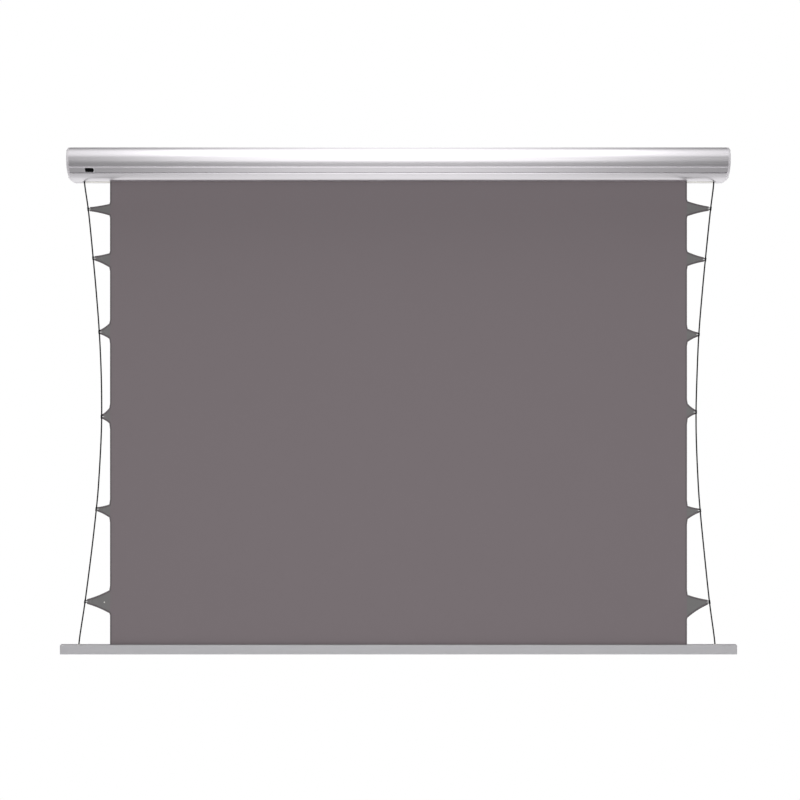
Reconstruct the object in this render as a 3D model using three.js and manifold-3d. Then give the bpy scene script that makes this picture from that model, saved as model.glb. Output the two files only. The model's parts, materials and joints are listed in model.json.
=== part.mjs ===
// Tab tensioned roll down projector screen, in millimetres.
// X runs along the case, +Y points at the wall and +Z is up. The origin lies on the wall plane,
// at the middle of the flat rail on the back of the case.
import * as THREE from "three";
import { mergeVertices } from "three/addons/utils/BufferGeometryUtils.js";
import Module from "manifold-3d";

const wasm = await Module();
wasm.setup();

// Fits
const FIT = 0.3; // play between pieces that slide or clip together
const FACE_GAP = 0.25; // play between the roller's turns and what hangs from them
const THROUGH = 1; // how far a cut runs past what it cuts

// Case extrusions
const CASE_BEYOND_SHEET = 122.5; // from the sheet's edge to the extrusions' end
const CASE_DEPTH = 120;
const CASE_HEIGHT = 111;
const CASE_WALL = 2;
const RAIL_HEIGHT = 54; // flat rail on the back, below the bracket channel
const CROWN_RADIUS = 40; // rounded upper front
const BELLY_RADIUS = 61; // rounded lower front
const SLOT_FRONT_REACH = 18; // from the sheet to the slot's front lip
const SLOT_REAR_REACH = 13; // from the sheet to the slot's rear lip
const SLOT_LIP_HEIGHT = 8;

// Channel on the back that the wall brackets slide in
const CHANNEL_HEIGHT = 44;
const CHANNEL_DEPTH = 4;
const CHANNEL_LIP = 5;
const CHANNEL_LIP_THICKNESS = 1.6;

// Ornament on the front: a scored line, a bead, a flat band and the shadow groove
const LINE_TOP = 15;
const LINE_WIDTH = 2;
const LINE_DEPTH = 2;
const BEAD_HEIGHT = 4.6;
const BEAD_PROUD = 0.8;
const BAND_TOP = 8;
const BAND_BOTTOM = -5.5;
const BAND_INSET = 1.2;
const GROOVE_HEIGHT = 5;
const GROOVE_DEPTH = 7;
const TONGUE_THICKNESS = 1.6;
const TONGUE_RISE = 4;

// Screw ports inside the extrusions
const PORT_RADIUS = 4;
const PORT_BORE = 2.1;
const PORT_SLOT = 1.4;
const PORT_SINK = 0.5; // how far a port is sunk into the wall that carries it
const CROWN_PORT_ANGLE = 135;
const BELLY_PORT_ANGLE = 250;

// End caps
const CAP_THICKNESS = 8;
const CAP_EDGE_RADIUS = 3;
const CAP_RIB_DEPTH = 6;
const CAP_RIB_THICKNESS = 2;
const CAP_TOP_RIB_SETBACK = 11; // from the bracket channel to the top rib's end
const CAP_BACK_RIB_RISE = 18; // from the case's underside to the back rib's foot
const CAP_SCREW_HOLE = 2.2;
const BRACKET_BOSS_RADIUS = 4;
const BRACKET_BOSS_CIRCLE = 38;
const BRACKET_BOSS_ANGLES = [30, 150, 270];

// Receiver for the remote control
const WINDOW_SETBACK = 54.5; // from the extrusions' end
const WINDOW_LENGTH = 31;
const WINDOW_START = 1.2; // down the band's slope
const WINDOW_HEIGHT = 13.8;
const WINDOW_SUNK = 0.4;
const RECEIVER_LENGTH = 44;
const RECEIVER_REACH = 10.7; // down the band's slope
const RECEIVER_TOP = 14;
const RECEIVER_DEPTH = 10; // behind its front's lower edge

// Roller
const ROLLER_SETBACK = 60; // axis in front of the wall
const ROLLER_DROP = 54; // axis below the case's top
const ROLLER_RADIUS = 35;
const ROLLER_WALL = 2;
const ROLLER_END_GAP = 18.5; // from the tube's end to the end cap
const KEYWAY_WIDTH = 6;
const KEYWAY_DEPTH = 4;
const KEYWAY_MOUTH = 3;
const KEYWAY_LIP = 1.6;
const KEYWAY_WALL = 1.6;

// Motor, drive and idler
const MOTOR_RADIUS = 22.5;
const MOTOR_LENGTH = 480;
const MOTOR_HEAD_RADIUS = 28;
const MOTOR_LUG = 10;
const MOTOR_HEAD_GAP = 1; // from the tube's end to the head
const SHAFT_RADIUS = 6;
const SHAFT_LENGTH = 30;
const DRIVE_WHEEL_WIDTH = 22;
const CROWN_RING_WIDTH = 14;
const IDLER_PLUG_LENGTH = 30;
const IDLER_FLANGE = 1.5;
const IDLER_PIN_RADIUS = 6;
const IDLER_PIN_REACH = 25;
const IDLER_COLLAR_RADIUS = 9;
const IDLER_RIVET = 2; // the pin's riveted head behind its plate
const PLATE_RADIUS = 46;
const PLATE_THICKNESS = 3;
const PLATE_STANDOFF = 4.5; // from the plate to the end cap

// Sheet, tabs and cords
const SHEET_WIDTH = 2032;
const SHEET_THICKNESS = 0.5;
const SHEET_CORE_GAP = 0.25;
const SAFETY_TURNS = 2.5;
const VISIBLE_DROP = 1628; // from the case's underside to the bar's top
const TAB_LAP = 12;
const TAB_THICKNESS = 0.5;
const TAB_TIP_HEIGHT = 9;
const TAB_HOLLOW = 0.16; // how far a tab's sides are pulled in by the tension
const LOOP_WALL = 1;
const LOOP_LENGTH = 12;
const NOTCH_LENGTH = 11; // opening at a tab's tip, where the cord shows between its two loops
const NOTCH_HEIGHT = 4;
const CORD_RADIUS = 2;
const CORD_SEAT = 0.5;
const CORD_WRAP_TURNS = 1.25;
const CORD_WRAP_PITCH = 4.4;
const CLIP_HEIGHT = 5;
const CLIP_LENGTH = 16;

// Bottom bar
const BAR_BEYOND_SHEET = 174; // from the sheet's edge to a bar cap's outer face
const BAR_HEIGHT = 33;
const BAR_DEPTH = 22;
const BAR_WALL = 1.8;
const BAR_CAP_THICKNESS = 4;
const BAR_PLUG_DEPTH = 10;
const BAR_CORNER = 2;
const HEM_ROD_RADIUS = 2.8;
const HEM_ROD_PROUD = 12; // how far the rod stands out of the hem
const CHANNEL_DROP = 8; // from the bar's top to the hem rod
const CHANNEL_WALL = 1.6;
const CHANNEL_MOUTH = 2.4;
const BALLAST_RADIUS = 6;
const BALLAST_LENGTH = 1900;
const ANCHOR_RADIUS = 3.7;
const ANCHOR_FLANGE_RADIUS = 5.6;
const ANCHOR_FLANGE = 1.5;
const ANCHOR_DEPTH = 15;
const FERRULE_RADIUS = 3.4;
const FERRULE_LENGTH = 7;

// Wall brackets and mains inlet
const BRACKET_SETBACK = 338.5; // from the extrusions' end to the middle of a bracket
const BRACKET_WIDTH = 80;
const BRACKET_STEEL = 1.8;
const BRACKET_STEP = 2.7; // height over which the plate steps in behind the lips
const BRACKET_LIP_PLAY = 1;
const BRACKET_HOLE = 3;
const BRACKET_HOLE_SPACING = 44;
const INLET_SETBACK = 19;
const INLET_HEIGHT = -6;
const INLET_HOLE = 6;
const INLET_BORE = 3.2;
const INLET_FLANGE = 9;
const INLET_FLANGE_THICKNESS = 2;
const INLET_FLANGE_TAPER = 1;

// Where each tab's tip lies as a share of the visible drop, and how far its root reaches
// above and below the tip.
const TABS = {
  left: [
    { at: 0.058, above: 16, below: 20 },
    { at: 0.164, above: 15, below: 31 },
    { at: 0.324, above: 29, below: 22 },
    { at: 0.507, above: 29, below: 22 },
    { at: 0.707, above: 14, below: 28 },
    { at: 0.907, above: 38, below: 39 },
  ],
  right: [
    { at: 0.057, above: 24, below: 24 },
    { at: 0.167, above: 25, below: 21 },
    { at: 0.329, above: 18, below: 25 },
    { at: 0.497, above: 28, below: 21 },
    { at: 0.71, above: 14, below: 29 },
    { at: 0.908, above: 23, below: 53 },
  ],
};

// Each cord's route from the case down: share of the visible drop, then millimetres outside
// the sheet's edge.
const CORD_ROUTES = {
  left: [
    [0, 90],
    [0.06, 76.5],
    [0.164, 59.5],
    [0.235, 49],
    [0.324, 38],
    [0.42, 31],
    [0.507, 29.7],
    [0.56, 32],
    [0.665, 42],
    [0.707, 48.4],
    [0.795, 64.5],
    [0.907, 88],
  ],
  right: [
    [0, 94.5],
    [0.06, 83],
    [0.167, 65],
    [0.235, 54.5],
    [0.329, 42],
    [0.41, 36],
    [0.497, 32.2],
    [0.56, 33.3],
    [0.665, 41],
    [0.71, 46.6],
    [0.795, 60],
    [0.908, 79.5],
  ],
};
const CORD_TOP_OUTSET = { left: 92, right: 95 };
const CORD_END_OUTSET = { left: 109.5, right: 98.5 };

// Places that follow from the sizes
const sheetEdge = SHEET_WIDTH / 2;
const caseEnd = sheetEdge + CASE_BEYOND_SHEET;
const windowLeft = -caseEnd + WINDOW_SETBACK;
const caseBottom = -RAIL_HEIGHT / 2;
const caseTop = caseBottom + CASE_HEIGHT;
const channelBottom = RAIL_HEIGHT / 2;
const channelTop = channelBottom + CHANNEL_HEIGHT;
const crownCentre = { y: CROWN_RADIUS - CASE_DEPTH, z: caseTop - CROWN_RADIUS };
const bellyCentre = { y: BELLY_RADIUS - CASE_DEPTH, z: caseBottom + BELLY_RADIUS };
const rollerY = -ROLLER_SETBACK;
const rollerZ = caseTop - ROLLER_DROP;
const rollRadius = ROLLER_RADIUS + SHEET_CORE_GAP + SAFETY_TURNS * SHEET_THICKNESS;
const sheetFront = rollerY + rollRadius + FACE_GAP;
const sheetBack = sheetFront + SHEET_THICKNESS;
const sheetMiddle = (sheetFront + sheetBack) / 2;
const slotFront = sheetMiddle - SLOT_FRONT_REACH;
const slotRear = sheetMiddle + SLOT_REAR_REACH;
const tubeEnd = caseEnd - ROLLER_END_GAP;
const plateInner = caseEnd - PLATE_STANDOFF - PLATE_THICKNESS;
const plateOuter = plateInner + PLATE_THICKNESS;
const cordCircle = ROLLER_RADIUS + CORD_SEAT + CORD_RADIUS;
const cordY = rollerY + cordCircle;
const barTop = caseBottom - VISIBLE_DROP;
const barBottom = barTop - BAR_HEIGHT;
const barEnd = sheetEdge + BAR_BEYOND_SHEET - BAR_CAP_THICKNESS;
const hemRadius = HEM_ROD_RADIUS + FIT + SHEET_THICKNESS;
const hemZ = barTop - CHANNEL_DROP;
const channelRadius = hemRadius + FIT;
const wheelRadius = ROLLER_RADIUS - ROLLER_WALL - FIT;

const SIDES = { left: -1, right: 1 };
const degrees = THREE.MathUtils.degToRad;

// Solids from meshes

function toSolid(geometry) {
  const bare = geometry.clone();
  bare.deleteAttribute("normal");
  bare.deleteAttribute("uv");
  const merged = mergeVertices(bare, 1e-4);
  return new wasm.Manifold(
    new wasm.Mesh({
      numProp: 3,
      vertProperties: new Float32Array(merged.attributes.position.array),
      triVerts: new Uint32Array(merged.index.array),
    }),
  );
}

function toGeometry(solid) {
  const mesh = solid.getMesh();
  const geometry = new THREE.BufferGeometry();
  geometry.setAttribute("position", new THREE.BufferAttribute(mesh.vertProperties, 3));
  geometry.setIndex(new THREE.BufferAttribute(mesh.triVerts, 1));
  geometry.computeVertexNormals();
  return geometry;
}

function combine(base, { add = [], cut = [] }) {
  let solid = toSolid(base);
  for (const geometry of add) solid = solid.add(toSolid(geometry));
  for (const geometry of cut) solid = solid.subtract(toSolid(geometry));
  return toGeometry(solid);
}

// Shapes and how they are carried along an axis

const point = (y, z) => new THREE.Vector2(y, z);

function arcPoints(centre, radius, from, to, steps) {
  return Array.from({ length: steps + 1 }, (_, n) => {
    const angle = degrees(from + ((to - from) * n) / steps);
    return point(centre.y + radius * Math.cos(angle), centre.z + radius * Math.sin(angle));
  });
}

function extrude(shape, from, to, axes) {
  const geometry = new THREE.ExtrudeGeometry(shape, {
    depth: to - from,
    bevelEnabled: false,
    curveSegments: 4,
  });
  geometry.translate(0, 0, from);
  return geometry.applyMatrix4(new THREE.Matrix4().makeBasis(...axes));
}

const X = new THREE.Vector3(1, 0, 0);
const Y = new THREE.Vector3(0, 1, 0);
const Z = new THREE.Vector3(0, 0, 1);

// A section drawn in Y and Z, carried along X
const alongX = (shape, from, to) => extrude(shape, from, to, [Y, Z, X]);

// An outline drawn in X and Z, carried along Y
const alongY = (shape, from, to) => extrude(shape, -to, -from, [X, Z, Y.clone().negate()]);

function polygon(...corners) {
  return new THREE.Shape(corners.map(([y, z]) => point(y, z)));
}

const rectangle = (y0, y1, z0, z1) => polygon([y0, z0], [y1, z0], [y1, z1], [y0, z1]);

const box = (x0, x1, y0, y1, z0, z1) => alongX(rectangle(y0, y1, z0, z1), x0, x1);

function rodAlongX(radius, y, z, from, to, sides = 24) {
  return alongX(new THREE.Shape(arcPoints({ y, z }, radius, 0, 360, sides).slice(0, -1)), from, to);
}

function rodAlongZ(radius, x, y, from, to, sides = 16) {
  const geometry = new THREE.CylinderGeometry(radius, radius, to - from, sides);
  return geometry.rotateX(Math.PI / 2).translate(x, y, (from + to) / 2);
}

// Rings of points joined into one closed skin, the first and last ring closed flat. The rings
// run counter clockwise when seen from the far end.
function loft(rings) {
  const count = rings[0].length;
  const positions = rings.flat().flatMap((corner) => corner.toArray());
  const index = [];
  for (let ring = 0; ring + 1 < rings.length; ring += 1) {
    for (let side = 0; side < count; side += 1) {
      const here = ring * count + side;
      const next = ring * count + ((side + 1) % count);
      index.push(here, next, next + count, here, next + count, here + count);
    }
  }
  const flat = rings[0].map((corner) => point(corner.y, corner.z));
  const last = (rings.length - 1) * count;
  for (const [a, b, c] of THREE.ShapeUtils.triangulateShape(flat, [])) {
    index.push(a, c, b, last + a, last + b, last + c);
  }
  const geometry = new THREE.BufferGeometry();
  geometry.setAttribute("position", new THREE.Float32BufferAttribute(positions, 3));
  geometry.setIndex(index);
  return geometry;
}

// Case sections

// Point on the belly at a height, a little inside its skin
function onBelly(z, inset = 0) {
  const radius = BELLY_RADIUS - inset;
  return [bellyCentre.y - Math.sqrt(radius ** 2 - (z - bellyCentre.z) ** 2), z];
}

const bellyAngle = (z, radius) => 180 + THREE.MathUtils.radToDeg(Math.asin((bellyCentre.z - z) / radius));

const bandTop = onBelly(BAND_TOP, BAND_INSET);
const bandBottom = onBelly(BAND_BOTTOM, BAND_INSET);
const bandLength = Math.hypot(bandBottom[0] - bandTop[0], bandBottom[1] - bandTop[1]);

// Point on the flat band, by the way down its slope and the depth into the case
function onBand(down, depth) {
  const slope = [(bandBottom[0] - bandTop[0]) / bandLength, (bandBottom[1] - bandTop[1]) / bandLength];
  return [
    bandTop[0] + slope[0] * down - slope[1] * depth,
    bandTop[1] + slope[1] * down + slope[0] * depth,
  ];
}

const flangeEnd = bandBottom[0] + GROOVE_DEPTH;
const coverTop = BAND_BOTTOM - GROOVE_HEIGHT;

function upperSection() {
  const corners = (points) => points.map((p) => [p.x, p.y]);
  const wall = CASE_WALL;
  const lineBottom = LINE_TOP - LINE_WIDTH;
  const innerBelly = BELLY_RADIUS - wall;
  const backOutside = [
    [slotRear, caseBottom],
    [0, caseBottom],
    [0, channelBottom + CHANNEL_LIP],
    [-CHANNEL_LIP_THICKNESS, channelBottom + CHANNEL_LIP],
    [-CHANNEL_LIP_THICKNESS, channelBottom],
    [-CHANNEL_DEPTH, channelBottom],
    [-CHANNEL_DEPTH, channelTop],
    [-CHANNEL_LIP_THICKNESS, channelTop],
    [-CHANNEL_LIP_THICKNESS, channelTop - CHANNEL_LIP],
    [0, channelTop - CHANNEL_LIP],
    [0, caseTop],
  ];
  const frontOutside = [
    ...corners(arcPoints(crownCentre, CROWN_RADIUS, 90, 180, 9)),
    ...corners(arcPoints(bellyCentre, BELLY_RADIUS, 180, bellyAngle(LINE_TOP, BELLY_RADIUS), 3)),
    onBelly(LINE_TOP, LINE_DEPTH),
    onBelly(lineBottom, LINE_DEPTH),
    onBelly(lineBottom),
    onBelly(lineBottom - BEAD_HEIGHT * 0.25, -BEAD_PROUD),
    onBelly(lineBottom - BEAD_HEIGHT * 0.75, -BEAD_PROUD),
    onBelly(lineBottom - BEAD_HEIGHT),
    bandTop,
    bandBottom,
    [flangeEnd, BAND_BOTTOM],
  ];
  const inside = [
    [flangeEnd, BAND_BOTTOM + wall],
    onBand(bandLength - wall, wall),
    onBand(0, wall),
    onBelly(lineBottom - wall / 2, LINE_DEPTH + wall),
    onBelly(LINE_TOP + wall, LINE_DEPTH + wall),
    ...corners(arcPoints(bellyCentre, innerBelly, bellyAngle(LINE_TOP + 2 * wall, innerBelly), 180, 3)),
    ...corners(arcPoints(crownCentre, CROWN_RADIUS - wall, 180, 90, 9)),
    [-wall, caseTop - wall],
    [-wall, channelTop + wall],
    [-CHANNEL_DEPTH - wall, channelTop + wall],
    [-CHANNEL_DEPTH - wall, channelBottom - wall],
    [-wall, channelBottom - wall],
    [-wall, caseBottom + wall],
    [slotRear, caseBottom + wall],
  ];
  return polygon(...backOutside, ...frontOutside, ...inside);
}

function coverSection() {
  const wall = CASE_WALL;
  const tongueFront = flangeEnd + FIT;
  const tongueBack = tongueFront + TONGUE_THICKNESS;
  const tongueTop = BAND_BOTTOM + TONGUE_RISE;
  const arc = (radius, from, to) => arcPoints(bellyCentre, radius, from, to, 8).map((p) => [p.x, p.y]);
  return polygon(
    [tongueFront, tongueTop],
    [tongueFront, coverTop],
    ...arc(BELLY_RADIUS, bellyAngle(coverTop, BELLY_RADIUS), 270),
    [slotFront, caseBottom],
    [slotFront, caseBottom + SLOT_LIP_HEIGHT],
    [slotFront - wall, caseBottom + SLOT_LIP_HEIGHT],
    [slotFront - wall, caseBottom + wall],
    ...arc(BELLY_RADIUS - wall, 270, bellyAngle(coverTop - wall, BELLY_RADIUS - wall)),
    [tongueBack, coverTop - wall],
    [tongueBack, tongueTop],
  );
}

// The screw ports: where each one is, and the angle that its slot opens towards
const ports = {
  back: {
    y: -CASE_WALL - PORT_RADIUS + PORT_SINK,
    z: caseTop - CASE_WALL - PORT_RADIUS + PORT_SINK,
    opens: 225,
  },
  foot: {
    y: -CASE_WALL - PORT_RADIUS + PORT_SINK,
    z: caseBottom + CASE_WALL + PORT_RADIUS - PORT_SINK,
    opens: 135,
  },
  crown: portOnArc(crownCentre, CROWN_RADIUS, CROWN_PORT_ANGLE),
  belly: portOnArc(bellyCentre, BELLY_RADIUS, BELLY_PORT_ANGLE),
};

function portOnArc(centre, radius, angle) {
  const reach = radius - CASE_WALL - PORT_RADIUS + PORT_SINK;
  return {
    y: centre.y + reach * Math.cos(degrees(angle)),
    z: centre.z + reach * Math.sin(degrees(angle)),
    opens: angle + 180,
  };
}

function withPorts(section, list) {
  const [from, to] = [-caseEnd, caseEnd];
  const slot = ({ y, z, opens }) => {
    const bar = rectangle(-PORT_SLOT / 2, PORT_SLOT / 2, 0, PORT_RADIUS + THROUGH);
    const turned = bar.getPoints().map((p) => p.rotateAround(point(0, 0), degrees(opens - 90)));
    const shape = new THREE.Shape(turned.map((p) => point(p.x + y, p.y + z)));
    return alongX(shape, from - THROUGH, to + THROUGH);
  };
  const bore = ({ y, z }) => rodAlongX(PORT_BORE, y, z, from - THROUGH, to + THROUGH, 10);
  return {
    base: alongX(section, from, to),
    add: list.map(({ y, z }) => rodAlongX(PORT_RADIUS, y, z, from, to, 16)),
    cut: list.flatMap((port) => [bore(port), slot(port)]),
  };
}

function caseUpper() {
  const { base, add, cut } = withPorts(upperSection(), [ports.back, ports.foot, ports.crown]);
  const [high, low] = [WINDOW_START - FIT, WINDOW_START + WINDOW_HEIGHT + FIT];
  const [outside, inside] = [-THROUGH, CASE_WALL + FIT];
  const hole = polygon(
    onBand(high, outside),
    onBand(low, outside),
    onBand(low, inside),
    onBand(high, inside),
  );
  const windowHole = alongX(hole, windowLeft - FIT, windowLeft + WINDOW_LENGTH + FIT);
  return combine(base, { add, cut: [...cut, windowHole] });
}

function caseLowerCover() {
  const { base, add, cut } = withPorts(coverSection(), [ports.belly]);
  return combine(base, { add, cut });
}

// The case's plain outline, drawn in by an inset
function caseOutline(inset, x) {
  const points = [
    point(-inset, caseBottom + inset),
    point(-inset, caseTop - inset),
    ...arcPoints(crownCentre, CROWN_RADIUS - inset, 90, 180, 9),
    ...arcPoints(bellyCentre, BELLY_RADIUS - inset, 180, 270, 12),
  ];
  return points.map((p) => new THREE.Vector3(x, p.x, p.y));
}

// What lies between two distances outward from an end plane, as a range of X
function outward(side, end, from, to) {
  return side > 0 ? [end + from, end + to] : [-end - to, -end - from];
}

function endCap(side) {
  const edge = [0, 30, 60, 90].map((angle) => ({
    x: CAP_THICKNESS - CAP_EDGE_RADIUS * (1 - Math.sin(degrees(angle))),
    inset: CAP_EDGE_RADIUS * (1 - Math.cos(degrees(angle))),
  }));
  const steps = [{ x: 0, inset: 0 }, ...edge];
  const rings = steps.map(({ x, inset }) => caseOutline(inset, side * (caseEnd + x)));
  const plate = loft(side > 0 ? rings : rings.reverse());
  const under = caseTop - CASE_WALL - FIT;
  const behind = -CHANNEL_DEPTH - CASE_WALL - FIT;
  const ribSpan = outward(side, caseEnd, -CAP_RIB_DEPTH, CAP_EDGE_RADIUS);
  const [ribRear, ribFoot] = [behind - CAP_TOP_RIB_SETBACK, caseBottom + CAP_BACK_RIB_RISE];
  const ribs = [
    box(...ribSpan, crownCentre.y, ribRear, under - CAP_RIB_THICKNESS, under),
    box(...ribSpan, behind - CAP_RIB_THICKNESS, behind, ribFoot, channelTop - CASE_WALL),
  ];
  const bossSpan = outward(side, caseEnd, -PLATE_STANDOFF, CAP_EDGE_RADIUS);
  const bosses = BRACKET_BOSS_ANGLES.map((angle) => {
    const y = rollerY + BRACKET_BOSS_CIRCLE * Math.cos(degrees(angle));
    const z = rollerZ + BRACKET_BOSS_CIRCLE * Math.sin(degrees(angle));
    return rodAlongX(BRACKET_BOSS_RADIUS, y, z, ...bossSpan, 12);
  });
  const holeSpan = outward(side, caseEnd, -THROUGH, CAP_THICKNESS + THROUGH);
  const cut = Object.values(ports).map(({ y, z }) => rodAlongX(CAP_SCREW_HOLE, y, z, ...holeSpan, 10));
  if (side < 0) {
    cut.push(rodAlongX(INLET_HOLE, -INLET_SETBACK, INLET_HEIGHT, ...holeSpan, 20));
  }
  return combine(plate, { add: [...ribs, ...bosses], cut });
}

// Receiver

function irWindow() {
  const section = polygon(
    onBand(WINDOW_START, WINDOW_SUNK),
    onBand(WINDOW_START + WINDOW_HEIGHT, WINDOW_SUNK),
    onBand(WINDOW_START + WINDOW_HEIGHT, CASE_WALL),
    onBand(WINDOW_START, CASE_WALL),
  );
  return alongX(section, windowLeft, windowLeft + WINDOW_LENGTH);
}

function irReceiverBox() {
  const front = CASE_WALL + FIT;
  const middle = windowLeft + WINDOW_LENGTH / 2;
  const [frontTop, frontBottom] = [onBand(0, front), onBand(RECEIVER_REACH, front)];
  const back = frontBottom[0] + RECEIVER_DEPTH;
  const section = polygon(
    frontTop,
    frontBottom,
    [back, frontBottom[1]],
    [back, RECEIVER_TOP],
    [frontTop[0], RECEIVER_TOP],
  );
  return alongX(section, middle - RECEIVER_LENGTH / 2, middle + RECEIVER_LENGTH / 2);
}

// Roller and what carries it

// A box across the roller's front, by its two distances behind the tube's skin and its half height
function keyBlock(from, to, near, far, half) {
  const front = rollerY - ROLLER_RADIUS;
  return box(from, to, front + near, front + far, rollerZ - half, rollerZ + half);
}

// The keyway's walls. A wheel's notch is the same block with the fit round it.
function keyBox(from, to, fit) {
  const half = KEYWAY_WIDTH / 2 + KEYWAY_WALL + fit;
  return keyBlock(from, to, ROLLER_WALL / 2, KEYWAY_DEPTH + KEYWAY_WALL + fit, half);
}

function rollerTube() {
  const [from, to] = [-tubeEnd - THROUGH, tubeEnd + THROUGH];
  const outer = rodAlongX(ROLLER_RADIUS, rollerY, rollerZ, -tubeEnd, tubeEnd, 48);
  const bore = rodAlongX(ROLLER_RADIUS - ROLLER_WALL, rollerY, rollerZ, from, to, 48);
  const groove = keyBlock(from, to, KEYWAY_LIP, KEYWAY_DEPTH, KEYWAY_WIDTH / 2);
  const mouth = keyBlock(from, to, -THROUGH, ROLLER_WALL, KEYWAY_MOUTH / 2);
  const shell = toSolid(outer).subtract(toSolid(bore)).add(toSolid(keyBox(-tubeEnd, tubeEnd, 0)));
  return toGeometry(shell.subtract(toSolid(groove)).subtract(toSolid(mouth)));
}

function keyedWheel(from, to, boreRadius) {
  const span = [from - THROUGH, to + THROUGH];
  return combine(rodAlongX(wheelRadius, rollerY, rollerZ, from, to, 48), {
    cut: [rodAlongX(boreRadius, rollerY, rollerZ, ...span), keyBox(...span, FIT)],
  });
}

const motorEnd = -tubeEnd + MOTOR_LENGTH;
const headInner = -tubeEnd - MOTOR_HEAD_GAP;

function tubularMotor() {
  return rodAlongX(MOTOR_RADIUS, rollerY, rollerZ, headInner, motorEnd, 32);
}

function motorHead() {
  const lug = MOTOR_LUG / 2;
  const head = rodAlongX(MOTOR_HEAD_RADIUS, rollerY, rollerZ, -plateInner, headInner, 32);
  const lugInner = (headInner - plateInner) / 2;
  return combine(head, {
    add: [box(-plateOuter, lugInner, rollerY - lug, rollerY + lug, rollerZ - lug, rollerZ + lug)],
  });
}

function motorShaft() {
  const start = motorEnd + FIT;
  return rodAlongX(SHAFT_RADIUS, rollerY, rollerZ, start, start + SHAFT_LENGTH, 6);
}

function driveWheel() {
  const start = motorEnd + FIT + (SHAFT_LENGTH - DRIVE_WHEEL_WIDTH) / 2;
  return keyedWheel(start, start + DRIVE_WHEEL_WIDTH, SHAFT_RADIUS + FIT);
}

function crownRing() {
  return keyedWheel(-tubeEnd + ROLLER_WALL, -tubeEnd + ROLLER_WALL + CROWN_RING_WIDTH, MOTOR_RADIUS + FIT);
}

function idlerPlug() {
  const flangeEnd = tubeEnd + IDLER_FLANGE;
  const flange = rodAlongX(ROLLER_RADIUS, rollerY, rollerZ, tubeEnd, flangeEnd, 48);
  const body = keyedWheel(tubeEnd - IDLER_PLUG_LENGTH, tubeEnd, IDLER_PIN_RADIUS + FIT);
  const bore = rodAlongX(IDLER_PIN_RADIUS + FIT, rollerY, rollerZ, tubeEnd - THROUGH, flangeEnd + THROUGH);
  return combine(body, { add: [flange], cut: [bore] });
}

function idlerPin() {
  const collarStart = tubeEnd + IDLER_FLANGE + FIT;
  const pinEnd = plateOuter + IDLER_RIVET;
  return combine(rodAlongX(IDLER_PIN_RADIUS, rollerY, rollerZ, tubeEnd - IDLER_PIN_REACH, pinEnd), {
    add: [
      rodAlongX(IDLER_COLLAR_RADIUS, rollerY, rollerZ, collarStart, plateInner),
      rodAlongX(IDLER_COLLAR_RADIUS, rollerY, rollerZ, plateOuter, pinEnd),
    ],
  });
}

function motorBracket() {
  const hole = MOTOR_LUG / 2 + FIT;
  const span = [-plateOuter - THROUGH, -plateInner + THROUGH];
  return combine(rodAlongX(PLATE_RADIUS, rollerY, rollerZ, -plateOuter, -plateInner, 36), {
    cut: [box(...span, rollerY - hole, rollerY + hole, rollerZ - hole, rollerZ + hole)],
  });
}

function idlerBracket() {
  const span = [plateInner - THROUGH, plateOuter + THROUGH];
  return combine(rodAlongX(PLATE_RADIUS, rollerY, rollerZ, plateInner, plateOuter, 36), {
    cut: [rodAlongX(IDLER_PIN_RADIUS + FIT, rollerY, rollerZ, ...span)],
  });
}

// Sheet

// The turns left on the roller: a spiral whose outer end lies at the back, where the sheet leaves
function fabricRoll() {
  const steps = 48;
  const centre = { y: rollerY, z: rollerZ };
  const outer = Array.from({ length: steps + 1 }, (_, n) => {
    const radius = rollRadius - (SHEET_THICKNESS * n) / steps;
    return arcPoints(centre, radius, (360 * n) / steps, 360, 1)[0];
  });
  const section = new THREE.Shape(outer);
  const core = arcPoints(centre, ROLLER_RADIUS + SHEET_CORE_GAP, 0, 360, steps).slice(0, -1);
  section.holes.push(new THREE.Path(core));
  return alongX(section, -sheetEdge, sheetEdge);
}

function screenSheet() {
  const hemInside = HEM_ROD_RADIUS + FIT;
  const [panelFoot, panelTop] = [hemZ + hemInside, rollerZ - FACE_GAP];
  const panel = box(-sheetEdge, sheetEdge, sheetFront, sheetBack, panelFoot, panelTop);
  const span = [-sheetEdge - THROUGH, sheetEdge + THROUGH];
  return combine(panel, {
    add: [rodAlongX(hemRadius, sheetMiddle, hemZ, -sheetEdge, sheetEdge, 20)],
    cut: [rodAlongX(hemInside, sheetMiddle, hemZ, ...span, 20)],
  });
}

function hemRod() {
  const rodEnd = sheetEdge + HEM_ROD_PROUD;
  return rodAlongX(HEM_ROD_RADIUS, sheetMiddle, hemZ, -rodEnd, rodEnd, 16);
}

// Cords

const dropZ = (share) => caseBottom - VISIBLE_DROP * share;

const anchorX = (name) => SIDES[name] * (sheetEdge + CORD_END_OUTSET[name]);
const ferruleTop = barTop - ANCHOR_DEPTH - FIT;

function cordCurve(name) {
  const at = (outset, z) => new THREE.Vector3(SIDES[name] * (sheetEdge + outset), cordY, z);
  return new THREE.CatmullRomCurve3([
    at(CORD_TOP_OUTSET[name], rollerZ - CORD_SEAT),
    ...CORD_ROUTES[name].map(([share, outset]) => at(outset, dropZ(share))),
    at(CORD_END_OUTSET[name], barTop + 2 * ANCHOR_FLANGE),
    at(CORD_END_OUTSET[name], ferruleTop - FERRULE_LENGTH / 2),
  ]);
}

const curves = { left: cordCurve("left"), right: cordCurve("right") };

function circleShape(radius, sides) {
  return new THREE.Shape(arcPoints({ y: 0, z: 0 }, radius, 0, 360, sides).slice(0, -1));
}

function tube(path, radius, steps, sides = 8) {
  return new THREE.ExtrudeGeometry(circleShape(radius, sides), { steps, extrudePath: path });
}

const cord = (name) => tube(curves[name], CORD_RADIUS, 72);

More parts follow.
